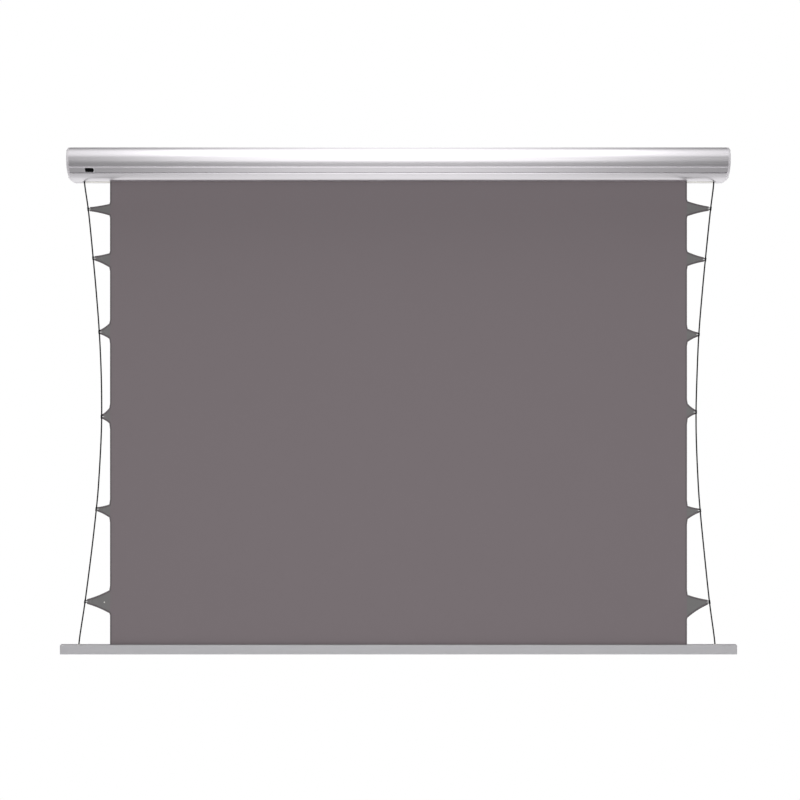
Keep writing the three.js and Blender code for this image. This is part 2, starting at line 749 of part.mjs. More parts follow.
// The cord's centre and heading at a height, found by halving
function cordAt(name, z) {
  let [high, low] = [0, 1];
  for (let turn = 0; turn < 40; turn += 1) {
    const middle = (high + low) / 2;
    if (curves[name].getPoint(middle).z > z) high = middle;
    else low = middle;
  }
  return { place: curves[name].getPoint(low), heading: curves[name].getTangent(low) };
}

class Winding extends THREE.Curve {
  constructor(name) {
    super();
    this.side = SIDES[name];
    this.start = sheetEdge + CORD_TOP_OUTSET[name];
  }

  getPoint(t, target = new THREE.Vector3()) {
    const turned = 2 * Math.PI * CORD_WRAP_TURNS * t;
    return target.set(
      this.side * (this.start + CORD_WRAP_PITCH * CORD_WRAP_TURNS * t),
      rollerY + cordCircle * Math.cos(turned),
      rollerZ + cordCircle * Math.sin(turned),
    );
  }
}

const cordWrap = (name) => tube(new Winding(name), CORD_RADIUS, 30);

// A saddle that holds the cord's end on the tube, just past the end of the winding
function cordClip(name) {
  const middle = SIDES[name] * (sheetEdge + CORD_TOP_OUTSET[name] + CORD_WRAP_PITCH * CORD_WRAP_TURNS);
  const base = ROLLER_RADIUS + FIT;
  const across = [middle - CORD_RADIUS, middle + CORD_RADIUS];
  const block = box(...across, base, base + CLIP_HEIGHT, FIT, FIT + CLIP_LENGTH);
  const turn = new THREE.Matrix4().makeRotationX(degrees(360 * CORD_WRAP_TURNS));
  return block.applyMatrix4(turn).translate(0, rollerY, rollerZ);
}

function tab(name, number) {
  const { at, above, below } = TABS[name][number - 1];
  const side = SIDES[name];
  const tip = dropZ(at);
  const { place, heading } = cordAt(name, tip);
  const root = side * sheetEdge;
  const lap = side * (sheetEdge - TAB_LAP);
  const half = TAB_TIP_HEIGHT / 2;
  const hollow = (height) => tip + Math.sign(height) * (Math.abs(height) + half) * (0.5 - TAB_HOLLOW);
  const outline = new THREE.Shape();
  const middle = (root + place.x) / 2;
  outline.moveTo(lap, tip + above);
  outline.lineTo(root, tip + above);
  outline.quadraticCurveTo(middle, hollow(above), place.x, tip + half);
  outline.lineTo(place.x, tip - half);
  outline.quadraticCurveTo(middle, hollow(-below), root, tip - below);
  outline.lineTo(lap, tip - below);
  const plate = alongY(outline, sheetBack, sheetBack + TAB_THICKNESS);
  const turn = new THREE.Quaternion().setFromUnitVectors(Y, heading);
  const sleeve = (radius, length) => {
    const rod = new THREE.CylinderGeometry(radius, radius, length, 12);
    return rod.applyQuaternion(turn).translate(place.x, place.y, place.z);
  };
  const loopRadius = CORD_RADIUS + FIT + LOOP_WALL;
  const notch = polygon(
    [place.x, tip + NOTCH_HEIGHT / 2],
    [place.x - side * NOTCH_LENGTH, tip],
    [place.x, tip - NOTCH_HEIGHT / 2],
  );
  return combine(plate, {
    add: [sleeve(loopRadius, LOOP_LENGTH)],
    cut: [
      sleeve(CORD_RADIUS + FIT, 2 * LOOP_LENGTH),
      alongY(notch, place.y - loopRadius - THROUGH, place.y + loopRadius + THROUGH),
    ],
  });
}

// Bottom bar

function barOutline(inset, corner) {
  const [front, back] = [sheetMiddle - BAR_DEPTH / 2 + inset, sheetMiddle + BAR_DEPTH / 2 - inset];
  const [bottom, top] = [barBottom + inset, barTop - inset];
  const round = (y, z, from) => arcPoints({ y, z }, corner, from, from + 90, 3);
  return new THREE.Shape([
    ...round(back - corner, top - corner, 0),
    ...round(front + corner, top - corner, 90),
    ...round(front + corner, bottom + corner, 180),
    ...round(back - corner, bottom + corner, 270),
  ]);
}

function bottomBar() {
  const collar = channelRadius + CHANNEL_WALL;
  const neck = CHANNEL_MOUTH / 2 + CHANNEL_WALL;
  const mouth = CHANNEL_MOUTH / 2;
  const span = [-barEnd, barEnd];
  const past = [-barEnd - THROUGH, barEnd + THROUGH];
  const hollow = toSolid(alongX(barOutline(BAR_WALL, BAR_CORNER / 2), ...past));
  const tube = toSolid(alongX(barOutline(0, BAR_CORNER), ...span)).subtract(hollow);
  const channel = [
    rodAlongX(collar, sheetMiddle, hemZ, ...span, 20),
    box(...span, sheetMiddle - neck, sheetMiddle + neck, hemZ, barTop - BAR_WALL / 2),
  ];
  const anchorHole = (name) =>
    rodAlongZ(ANCHOR_RADIUS + FIT, anchorX(name), cordY, hemZ - collar - THROUGH, barTop + THROUGH);
  const openings = [
    rodAlongX(channelRadius, sheetMiddle, hemZ, ...past, 20),
    box(...past, sheetMiddle - mouth, sheetMiddle + mouth, hemZ, barTop + THROUGH),
    ...Object.keys(SIDES).map(anchorHole),
  ];
  return combine(toGeometry(tube), { add: channel, cut: openings });
}

function barCap(name) {
  const side = SIDES[name];
  const inset = BAR_WALL + 2 * FIT;
  const plugTop = hemZ - channelRadius - CHANNEL_WALL - FIT;
  const plug = box(
    ...outward(side, barEnd, -BAR_PLUG_DEPTH, BAR_CAP_THICKNESS / 2),
    sheetMiddle - BAR_DEPTH / 2 + inset,
    sheetMiddle + BAR_DEPTH / 2 - inset,
    barBottom + inset,
    plugTop,
  );
  const plate = alongX(barOutline(0, BAR_CORNER), ...outward(side, barEnd, 0, BAR_CAP_THICKNESS));
  return combine(plate, { add: [plug] });
}

function ballastRod() {
  const z = barBottom + BAR_WALL + FIT + BALLAST_RADIUS;
  return rodAlongX(BALLAST_RADIUS, sheetMiddle, z, -BALLAST_LENGTH / 2, BALLAST_LENGTH / 2, 20);
}

function cordAnchor(name) {
  const x = anchorX(name);
  const [foot, top] = [barTop - ANCHOR_DEPTH, barTop + ANCHOR_FLANGE];
  return combine(rodAlongZ(ANCHOR_RADIUS, x, cordY, foot, top), {
    add: [rodAlongZ(ANCHOR_FLANGE_RADIUS, x, cordY, barTop, top)],
    cut: [rodAlongZ(CORD_RADIUS + FIT, x, cordY, foot - THROUGH, top + THROUGH)],
  });
}

function cordFerrule(name) {
  const x = anchorX(name);
  const foot = ferruleTop - FERRULE_LENGTH;
  return combine(rodAlongZ(FERRULE_RADIUS, x, cordY, foot, ferruleTop), {
    cut: [rodAlongZ(CORD_RADIUS + FIT, x, cordY, foot - THROUGH, ferruleTop + THROUGH)],
  });
}

// Wall brackets and mains inlet

function wallBracket(side) {
  const middle = side * (caseEnd - BRACKET_SETBACK);
  const steel = BRACKET_STEEL;
  const wing = CHANNEL_LIP_THICKNESS + FIT;
  const [low, high] = [channelBottom + FIT, channelTop - FIT];
  const lip = CHANNEL_LIP + BRACKET_LIP_PLAY;
  const [lipLow, lipHigh] = [channelBottom + lip, channelTop - lip];
  const step = BRACKET_STEP;
  const section = polygon(
    [0, lipLow + step],
    [0, lipHigh - step],
    [-wing, lipHigh],
    [-wing, high],
    [-wing - steel, high],
    [-wing - steel, lipHigh - steel / 2],
    [-steel, lipHigh - step - steel / 2],
    [-steel, lipLow + step + steel / 2],
    [-wing - steel, lipLow + steel / 2],
    [-wing - steel, low],
    [-wing, low],
    [-wing, lipLow],
  );
  const plate = alongX(section, middle - BRACKET_WIDTH / 2, middle + BRACKET_WIDTH / 2);
  const z = (low + high) / 2;
  const holes = [-1, 1].map((way) =>
    alongY(circleAt(middle + (way * BRACKET_HOLE_SPACING) / 2, z, BRACKET_HOLE), -2 * steel, THROUGH),
  );
  return combine(plate, { cut: holes });
}

function circleAt(x, z, radius) {
  return new THREE.Shape(arcPoints({ y: x, z }, radius, 0, 360, 16).slice(0, -1));
}

function powerInletGrommet() {
  const [inner, outer] = [-caseEnd, -caseEnd - CAP_THICKNESS];
  const neck = INLET_HOLE - FIT;
  const rim = INLET_FLANGE - INLET_FLANGE_TAPER;
  const profile = [
    [INLET_BORE, inner + INLET_FLANGE_THICKNESS],
    [INLET_BORE, outer - INLET_FLANGE_THICKNESS],
    [rim, outer - INLET_FLANGE_THICKNESS],
    [INLET_FLANGE, outer],
    [neck, outer],
    [neck, inner],
    [rim, inner],
    [rim, inner + INLET_FLANGE_THICKNESS],
    [INLET_BORE, inner + INLET_FLANGE_THICKNESS],
  ];
  const ring = new THREE.LatheGeometry(profile.map(([r, x]) => point(r, x)), 20);
  const turned = ring.applyMatrix4(new THREE.Matrix4().makeBasis(Z, X, Y));
  return turned.translate(0, -INLET_SETBACK, INLET_HEIGHT);
}

// Finishes

const FINISHES = {
  anodised: { color: 0xcfccd0, metalness: 0.9, roughness: 0.32 },
  barPaint: { color: 0xb0afb2, metalness: 0.2, roughness: 0.5 },
  barPlug: { color: 0xa9a8ab, metalness: 0, roughness: 0.5 },
  capPlastic: { color: 0xc8c5c9, metalness: 0.3, roughness: 0.4 },
  blackLens: { color: 0x060607, metalness: 0, roughness: 0.1 },
  darkPlastic: { color: 0x1c1c1e, metalness: 0, roughness: 0.5 },
  zincSteel: { color: 0xa9acae, metalness: 1, roughness: 0.35 },
  whiteSteel: { color: 0xdedede, metalness: 0.2, roughness: 0.5 },
  rubber: { color: 0x141414, metalness: 0, roughness: 0.8 },
  sheetGrey: { color: 0x766e71, metalness: 0, roughness: 0.85 },
  tabGrey: { color: 0x6e6c6c, metalness: 0, roughness: 0.8 },
  cordBlack: { color: 0x121213, metalness: 0, roughness: 0.7 },
  tubeAluminium: { color: 0xb9bbbd, metalness: 1, roughness: 0.35 },
  nylon: { color: 0xe6e4df, metalness: 0, roughness: 0.5 },
};

function piece(name, geometry, finish) {
  const material = new THREE.MeshStandardMaterial(FINISHES[finish]);
  const mesh = new THREE.Mesh(geometry, material);
  mesh.name = name;
  return mesh;
}

// The object

const housing = new THREE.Group().add(
  piece("case_upper", caseUpper(), "anodised"),
  piece("case_lower_cover", caseLowerCover(), "anodised"),
  piece("end_cap_left", endCap(-1), "capPlastic"),
  piece("end_cap_right", endCap(1), "capPlastic"),
  piece("ir_window", irWindow(), "blackLens"),
  piece("ir_receiver_box", irReceiverBox(), "darkPlastic"),
  piece("motor_bracket", motorBracket(), "zincSteel"),
  piece("idler_bracket", idlerBracket(), "zincSteel"),
  piece("tubular_motor", tubularMotor(), "zincSteel"),
  piece("motor_head", motorHead(), "darkPlastic"),
  piece("idler_pin", idlerPin(), "zincSteel"),
  piece("wall_bracket_left", wallBracket(-1), "whiteSteel"),
  piece("wall_bracket_right", wallBracket(1), "whiteSteel"),
  piece("power_inlet_grommet", powerInletGrommet(), "rubber"),
);

const roller = new THREE.Group().add(
  piece("roller_tube", rollerTube(), "tubeAluminium"),
  piece("crown_ring", crownRing(), "nylon"),
  piece("drive_wheel", driveWheel(), "nylon"),
  piece("motor_shaft", motorShaft(), "zincSteel"),
  piece("idler_plug", idlerPlug(), "nylon"),
  piece("fabric_roll", fabricRoll(), "sheetGrey"),
);

const sheet = new THREE.Group().add(piece("screen_sheet", screenSheet(), "sheetGrey"));

const bar = new THREE.Group().add(
  piece("bottom_bar", bottomBar(), "barPaint"),
  piece("hem_rod", hemRod(), "zincSteel"),
  piece("ballast_rod", ballastRod(), "zincSteel"),
);

for (const name of Object.keys(SIDES)) {
  TABS[name].forEach((_, n) => sheet.add(piece(`tab_${name}_${n + 1}`, tab(name, n + 1), "tabGrey")));
  sheet.add(piece(`cord_${name}`, cord(name), "cordBlack"));
  roller.add(
    piece(`cord_wrap_${name}`, cordWrap(name), "cordBlack"),
    piece(`cord_clip_${name}`, cordClip(name), "nylon"),
  );
  bar.add(
    piece(`bar_cap_${name}`, barCap(name), "barPlug"),
    piece(`cord_anchor_${name}`, cordAnchor(name), "nylon"),
    piece(`cord_ferrule_${name}`, cordFerrule(name), "zincSteel"),
  );
}

export default new THREE.Group().add(housing, roller, sheet, bar);
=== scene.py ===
"""Looks of a tab tensioned roll down projector screen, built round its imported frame.

Everything is in metres in the frame's own axes: X along the case, +Y into the wall, +Z up.
"""

import json
import math

import bmesh
import bpy
import numpy as np
from bpy.props import FloatProperty, FloatVectorProperty, PointerProperty
from bpy.types import Operator, Panel, PropertyGroup
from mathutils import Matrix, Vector
from mathutils.geometry import tessellate_polygon


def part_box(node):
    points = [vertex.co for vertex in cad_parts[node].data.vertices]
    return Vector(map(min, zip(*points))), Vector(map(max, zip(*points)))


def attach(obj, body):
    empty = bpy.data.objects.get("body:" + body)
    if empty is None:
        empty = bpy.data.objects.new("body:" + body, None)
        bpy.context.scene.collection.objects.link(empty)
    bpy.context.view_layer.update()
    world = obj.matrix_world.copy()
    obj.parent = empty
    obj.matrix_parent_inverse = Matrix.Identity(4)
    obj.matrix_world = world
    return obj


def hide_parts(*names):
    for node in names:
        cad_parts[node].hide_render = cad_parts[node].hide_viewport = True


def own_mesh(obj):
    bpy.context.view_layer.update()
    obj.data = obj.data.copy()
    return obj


bl_info = {
    "name": "Roll Down Projector Screen",
    "version": (1, 0, 0),
    "blender": (4, 5, 0),
    "location": "3D View > Sidebar > Projector Screen",
    "description": "Dresses the frame of a tab tensioned roll down projector screen",
    "category": "Object",
}

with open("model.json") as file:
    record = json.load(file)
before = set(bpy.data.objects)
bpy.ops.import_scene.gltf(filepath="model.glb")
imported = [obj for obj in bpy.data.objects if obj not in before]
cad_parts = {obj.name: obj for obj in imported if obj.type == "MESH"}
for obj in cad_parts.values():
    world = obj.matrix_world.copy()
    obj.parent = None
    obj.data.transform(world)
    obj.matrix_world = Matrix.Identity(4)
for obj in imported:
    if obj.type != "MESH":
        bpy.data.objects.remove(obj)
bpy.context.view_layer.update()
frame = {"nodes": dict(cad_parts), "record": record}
MM = 0.001


def middle(name):
    """The middle of a node's box, as (y, z)."""
    low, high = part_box(name)
    return np.array([(low.y + high.y) / 2, (low.z + high.z) / 2])


# Places read from the frame
CASE_LOW, CASE_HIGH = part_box("case_upper")
BAR_LOW, BAR_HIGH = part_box("bottom_bar")
SHEET_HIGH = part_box("screen_sheet")[1]
ROLL_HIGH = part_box("fabric_roll")[1]
CASE_END, CASE_TOP, CASE_BOTTOM = CASE_HIGH.x, CASE_HIGH.z, CASE_LOW.z
BAR_TOP, BAR_BOTTOM, BAR_END = BAR_HIGH.z, BAR_LOW.z, BAR_HIGH.x
SHEET_EDGE = SHEET_HIGH.x
ROLLER = middle("roller_tube")
HEM = middle("hem_rod")
DROP = CASE_BOTTOM - BAR_TOP
SHEET_Y = HEM[0]

# The case's section, as the frame has it
CASE_DEPTH = 120 * MM
CHANNEL = (27 * MM, 71 * MM)
CHANNEL_DEPTH = 4 * MM
CHANNEL_LIP = 5 * MM
CHANNEL_LIP_THICKNESS = 1.6 * MM
SLOT_FRONT = -41 * MM
SLOT_REAR = -10 * MM
SLOT_LIP = 8 * MM
LINE_TOP = 15 * MM
LINE_BOTTOM = 13 * MM
LINE_DEPTH = 2 * MM
BEAD_HEIGHT = 4.6 * MM
BEAD_PROUD = 0.8 * MM
BEAD_CREST = 0.7
BAND_TOP = 8 * MM
BAND_BOTTOM = -5.5 * MM
BAND_INSET = 1.2 * MM
GROOVE_HEIGHT = 5 * MM
GROOVE_DEPTH = 7 * MM
TONGUE = (1.6 * MM, 4 * MM)
PLAY = 0.3 * MM

# Screw ports inside the extrusions: (y, z) and the angle that each one's slot opens towards
PORT_RADIUS = 4 * MM
PORT_BORE = 2.1 * MM
PORT_GAP_ANGLE = 20
UPPER_PORTS = [(-5.5 * MM, 78.5 * MM, 225), (-5.5 * MM, -21.5 * MM, 135), (-104.4 * MM, 68.4 * MM, 315)]
COVER_PORTS = [(-78.0 * MM, -18.15 * MM, 70)]
SCREW_PLACES = [(y, z) for y, z, _ in UPPER_PORTS + COVER_PORTS]

# End caps: the screws' holes, the bush for the mains lead, and what stands on the inner face
SCREW_HOLE = 2.2 * MM
INLET = (-19 * MM, -6 * MM)
INLET_RADIUS = 6 * MM
RIB = 2 * MM
RIB_LENGTH = 6 * MM
RIB_FOOT = 18 * MM
RIB_CORNER = 11 * MM
BOSS_RADIUS = 4 * MM
BOSS_LENGTH = 4.5 * MM
BOSS_CIRCLE = 38 * MM
BOSS_ANGLES = (30, 150, 270)
ROOT = 0.5 * MM

# Window of the receiver: along X, down the band's slope, and its cut corners in millimetres
WINDOW_LEFT = -1084 * MM
WINDOW_LENGTH = 31 * MM
WINDOW_START = 0.55 * MM
WINDOW_HEIGHT = 15.1 * MM
WINDOW_CORNERS = (1, 4, 4, 2.2)

# Tabs: each tip's share of the drop, and how far its root reaches above and below it in millimetres
TABS = {
    "left": [
        (0.058, 16, 20), (0.164, 15, 31), (0.324, 29, 22),
        (0.507, 29, 22), (0.707, 14, 28), (0.907, 38, 39),
    ],
    "right": [
        (0.057, 24, 24), (0.167, 25, 21), (0.329, 18, 25),
        (0.497, 28, 21), (0.71, 14, 29), (0.908, 23, 53),
    ],
}

# Cords: share of the drop, and millimetres outside the sheet's edge
CORD_ROUTES = {
    "left": [
        (0, 90), (0.06, 76.5), (0.164, 59.5), (0.235, 49), (0.324, 38), (0.42, 31),
        (0.507, 29.7), (0.56, 32), (0.665, 42), (0.707, 48.4), (0.795, 64.5), (0.907, 88),
    ],
    "right": [
        (0, 94.5), (0.06, 83), (0.167, 65), (0.235, 54.5), (0.329, 42), (0.41, 36),
        (0.497, 32.2), (0.56, 33.3), (0.665, 41), (0.71, 46.6), (0.795, 60), (0.908, 79.5),
    ],
}
CORD_TOP_OUTSET = {"left": 92, "right": 95}
CORD_END_OUTSET = {"left": 109.5, "right": 98.5}
CORD_Y = -22.5 * MM
CORD_CIRCLE = 37.5 * MM
WRAP_TURNS = 1.25
WRAP_PITCH = 4.4 * MM
ANCHOR_FLANGE = 1.5 * MM
FERRULE_MIDDLE = 18.8 * MM

# Sheet: hem round its rod, turns left on the roller, and the top stretch, which is its own piece
HEM_RADIUS = 3.6 * MM
HEM_BORE = 3.1 * MM
PANEL_FOOT = HEM[1] + HEM_BORE
ROLL_TURNS = 2.5
HEAD_REACH = 28 * MM
HEAD_FOOT = CASE_BOTTOM - HEAD_REACH

# Tabs: the vinyl, its slight wave, which dies out towards the cord, and the loops round the cord
TAB_THICKNESS = 0.5 * MM
WAVE = 0.12 * MM
WAVE_END = 30 * MM
LOOP_RADIUS = 3.05 * MM
LOOP_THICKNESS = 0.9 * MM

SIDES = {"left": -1, "right": 1}

# Angle in degrees above which an edge stays sharp
STEEP = 32


def linear(hex_colour):
    """Linear light of an sRGB hex colour.

    A channel c up to 0.04045 is c / 12.92, and a lighter one is ((c + 0.055) / 1.055) ** 2.4.
    """
    channels = [int(hex_colour[place : place + 2], 16) / 255 for place in (1, 3, 5)]
    curve = [c / 12.92 if c <= 0.04045 else ((c + 0.055) / 1.055) ** 2.4 for c in channels]
    return (*curve, 1.0)


def length(millimetres, name, description, lowest=0.0):
    """A size that a user may change: written in millimetres, kept in metres."""
    size = {"default": millimetres * MM, "min": lowest, "subtype": "DISTANCE", "unit": "LENGTH"}
    return FloatProperty(name=name, description=description, **size)


def colour(hex_colour, name, description):
    """A colour that a user may change."""
    shade = {"default": linear(hex_colour), "size": 4, "min": 0.0, "max": 1.0, "subtype": "COLOR"}
    return FloatVectorProperty(name=name, description=description, **shade)


class CaseSettings(PropertyGroup):
    """The case's extrusions, end caps and window"""

    wall: length(2, "Wall", "Thickness of the extrusions")
    crown: length(40, "Crown radius", "Rounding of the upper front")
    belly: length(61, "Belly radius", "Rounding of the lower front")
    cap_thickness: length(8, "Cap thickness", "Thickness of the end caps")
    cap_edge: length(3, "Cap edge", "Rounding of the end caps' outer edge")
    eased: length(0.3, "Eased edges", "Rounding along the extrusions' edges")
    screw_radius: length(3, "Screw radius", "Radius of the end caps' screw heads")
    metal: colour("#eae7eb", "Extrusion", "Satin anodised aluminium")
    cap: colour("#e0dde1", "End caps", "Silver painted plastic")
    lens: colour("#030304", "Window", "Lens over the receiver")


class SheetSettings(PropertyGroup):
    """The sheet, its bound edges and its tabs"""

    thickness: length(0.5, "Thickness", "Thickness of the sheet")
    binding: length(6, "Binding width", "Width of the tape welded round the free edges")
    lap: length(12, "Tab lap", "How far a tab is welded onto the back of the sheet")
    tip_height: length(7.5, "Tip height", "Height of a tab at its cord")
    notch_length: length(11, "Notch length", "Opening between a tab's two loops")
    notch_height: length(3, "Notch height", "Height of that opening at the cord")
    loop_length: length(12, "Loop length", "How much of the cord a tab's loops cover")
    hollow: FloatProperty(
        name="Hollow",
        description="How far the tension pulls in a tab's sides",
        default=0.16,
        min=0.0,
        max=0.4,
        subtype="FACTOR",
    )
    front: colour("#756d70", "Front", "Matt grey face")
    back: colour("#1b1b1c", "Back", "Black backing")
    tab: colour("#717070", "Tabs", "Plain grey vinyl")
    edge: colour("#605b5d", "Binding", "Darker tape")
    loop: colour("#1d1d1e", "Loops", "Black tape round the cords")


class CordSettings(PropertyGroup):
    """The tension cords"""

    radius: length(2.5, "Radius", "Half the cord's diameter")
    strand: length(1.6, "Strand", "Length of one crossing of the braid")
    black: colour("#0f0f10", "Cord", "Black polyester")


class BarSettings(PropertyGroup):
    """The bar at the sheet's foot"""

    wall: length(1.8, "Wall", "Thickness of the bar")
    corner: length(1.2, "Corner", "Rounding of the bar's corners")
    mouth: length(2.4, "Mouth", "Opening that the sheet passes through")
    cap: length(4, "Cap", "Thickness of the end plugs")
    metal: colour("#b0afb2", "Bar", "Grey powder coat")
    plug: colour("#aaa9ac", "Plugs", "Grey moulded plastic")


class StudioSettings(PropertyGroup):
    """Camera, lamps and floor"""

    distance: length(4623, "Camera distance", "From the wall to the camera")
    height: length(-793.7, "Camera height", "Above the origin", lowest=-10.0)
    aside: length(5.3, "Camera aside", "To the right of the middle", lowest=-10.0)
    focal: FloatProperty(name="Focal length", description="In millimetres", default=58.77, unit="CAMERA")
    floor: length(-2900, "Floor", "Height of the floor", lowest=-10.0)
    softbox: FloatProperty(name="Softbox", description="Lamp above the front", default=33.0, unit="POWER")
    fill: FloatProperty(name="Fill", description="Lamp beside the camera", default=107.0, unit="POWER")
    rear: FloatProperty(name="Rear lamp", description="Lamp behind the sheet", default=20.0, unit="POWER")
    low_light: FloatProperty(name="Low light", description="Even light from below", default=1.05, min=0.0)
    high_light: FloatProperty(name="High light", description="Even light from above", default=0.08, min=0.0)
    top_light: FloatProperty(name="Top light", description="Light from straight above", default=4.2, min=0.0)


class ScreenSettings(PropertyGroup):
    """Everything that the panel offers"""

    case: PointerProperty(type=CaseSettings)
    sheet: PointerProperty(type=SheetSettings)
    cord: PointerProperty(type=CordSettings)
    bar: PointerProperty(type=BarSettings)
    studio: PointerProperty(type=StudioSettings)


# Surfaces


class Shell:
    """A surface: an array of points, groups of faces with the same number of corners, and a pair
    of surface coordinates for each corner where a pattern follows them."""

    def __init__(self, points, groups, pairs=None):
        self.points = np.asarray(points, float).reshape(-1, 3)
        self.groups = [np.asarray(group, int) for group in groups]
        self.pairs = pairs


def grid_quads(rows, columns, closed=False):
    """Faces of a grid: corner (i, j) has the number i * columns + j.

    A closed grid joins its last column to its first.
    """
    i, j = np.meshgrid(np.arange(rows - 1), np.arange(columns if closed else columns - 1), indexing="ij")
    beside = (j + 1) % columns
    quads = [i * columns + j, i * columns + beside, (i + 1) * columns + beside, (i + 1) * columns + j]
    return np.stack(quads, axis=-1).reshape(-1, 4)


def arc(centre, radius, start, end, steps):
    """Circular arc: centre plus radius times (cosine, sine) of evenly spaced angles in degrees."""
    angle = np.radians(np.linspace(start, end, steps + 1))
    return np.asarray(centre) + radius * np.column_stack([np.cos(angle), np.sin(angle)])


def rounded_plate(outline, end, gap, chamfer, thickness, edge, steps):
    """A plate on the end of an extrusion, whose rings are an outline drawn in by an inset.

    It starts at a gap from the end, with a chamfer. Its outer edge is a quarter circle, where the
    angle t has the distance thickness - edge * (1 - sin t) and the inset edge * (1 - cos t).
    """
    turn = np.radians(np.linspace(0, 90, steps + 1))
    rows = [(gap, chamfer), (gap + chamfer, 0)]
    rows += list(zip(thickness - edge * (1 - np.sin(turn)), edge * (1 - np.cos(turn))))
    rings = []
    for out, inset in rows:
        flat = outline(inset)
        rings.append(np.column_stack([np.full(len(flat), end + math.copysign(out, end)), flat]))
    return lofted(rings)


def extruded(loops, depths, origin=(0, 0, 0), across=(0, 1, 0), up=(0, 0, 1), along=(1, 0, 0)):
    """Closed flat loops carried along a direction.

    A loop's point (a, b) at depth d is origin + a * across + b * up + d * along. Quads join each
    depth to the next, and both ends are closed by the flat region between the loops.
    """
    origin, across, up, along = (np.asarray(v, float) for v in (origin, across, up, along))
    flat = np.vstack(loops)
    layer = origin + flat[:, :1] * across + flat[:, 1:] * up
    points = np.concatenate([layer + depth * along for depth in depths])
    groups, start = [], 0
    for loop in loops:
        here = start + np.arange(len(loop))
        beside = start + (np.arange(len(loop)) + 1) % len(loop)
        for step in range(len(depths) - 1):
            near, far = step * len(flat), (step + 1) * len(flat)
            groups.append(np.column_stack([here + near, beside + near, beside + far, here + far]))
        start += len(loop)
    lids = np.array(tessellate_polygon([[Vector((a, b, 0)) for a, b in loop] for loop in loops]))
    groups += [lids[:, ::-1], lids + (len(depths) - 1) * len(flat)]
    return Shell(points, groups)


def lofted(rings):
    """Rings of as many points each, joined by quads, the first and last closed by one flat face."""
    rings = np.asarray(rings, float)
    count = rings.shape[1]
    last = (len(rings) - 1) * count
    lids = [np.arange(count)[None, ::-1], last + np.arange(count)[None]]
    return Shell(rings.reshape(-1, 3), [grid_quads(len(rings), count, closed=True), *lids])


def turned(profile, centre, axis, sides=48):
    """A profile of (radius, height) turned about an axis.

    Point (i, j) is centre + h_i * axis + r_i * (cos(a_j) * u + sin(a_j) * v), with u and v square
    to the axis. A radius may be an array with one value for each side.
    """
    axis = np.asarray(axis, float)
    u = np.cross(axis, (0, 0, 1) if abs(axis[2]) < 0.9 else (1, 0, 0))
    v = np.cross(axis, u)
    angle = 2 * np.pi * np.arange(sides) / sides
    spokes = np.cos(angle)[:, None] * u + np.sin(angle)[:, None] * v
    rings = [
        np.asarray(centre) + height * axis + np.broadcast_to(radius, sides)[:, None] * spokes
        for radius, height in profile
    ]
    return np.array(rings)


def rings_round(path, radius, across, sides):
    """Circles round a path and square to it.

    Point (i, j) is path_i + radius * (cos(a_j) * u_i + sin(a_j) * v_i), where u_i is across made
    square to the heading and v_i is heading x u_i.
    """
    heading = np.gradient(path, axis=0)
    heading /= np.linalg.norm(heading, axis=1)[:, None]
    across = np.broadcast_to(across, path.shape)
    u = across - np.sum(across * heading, axis=1)[:, None] * heading
    u /= np.linalg.norm(u, axis=1)[:, None]
    v = np.cross(heading, u)
    angle = 2 * np.pi * np.arange(sides) / sides
    spokes = np.cos(angle)[None, :, None] * u[:, None] + np.sin(angle)[None, :, None] * v[:, None]
    return path[:, None] + radius * spokes


def tube(path, radius, across, sides=16):
    """A round tube along a path, closed at both ends. U goes round once and V is metres along."""
    shell = lofted(rings_round(path, radius, across, sides))
    travelled = np.concatenate([[0], np.cumsum(np.linalg.norm(np.diff(path, axis=0), axis=1))])
    i, j = np.meshgrid(np.arange(len(path) - 1), np.arange(sides), indexing="ij")
    round_share = np.stack([j, j + 1, j + 1, j], axis=-1) / sides
    metres = travelled[np.stack([i, i, i + 1, i + 1], axis=-1)]
    walls = np.stack([round_share, metres], axis=-1).reshape(-1, 2)
    shell.pairs = np.vstack([walls, np.zeros((2 * sides, 2))])
    return shell


def ribbon(path, width, thickness, y):
    """A flat tape along a path in (x, z), with rounded edges.

    Each ring is a squared ellipse: it is width across the path in the sheet's plane, thickness in
    Y round the depth y, and goes by the square roots of the sine and the cosine.
    """
    heading = np.gradient(path, axis=0)
    heading /= np.linalg.norm(heading, axis=1)[:, None]
    aside = np.column_stack([-heading[:, 1], heading[:, 0]])
    angle = 2 * np.pi * (np.arange(12) + 0.5) / 12
    wide = np.sign(np.cos(angle)) * np.abs(np.cos(angle)) ** 0.5 * width / 2
    deep = np.sign(np.sin(angle)) * np.abs(np.sin(angle)) ** 0.5 * thickness / 2
    x = path[:, None, 0] + aside[:, None, 0] * wide
    z = path[:, None, 1] + aside[:, None, 1] * wide
    return lofted(np.stack([x, np.broadcast_to(y + deep, x.shape), z], axis=-1))


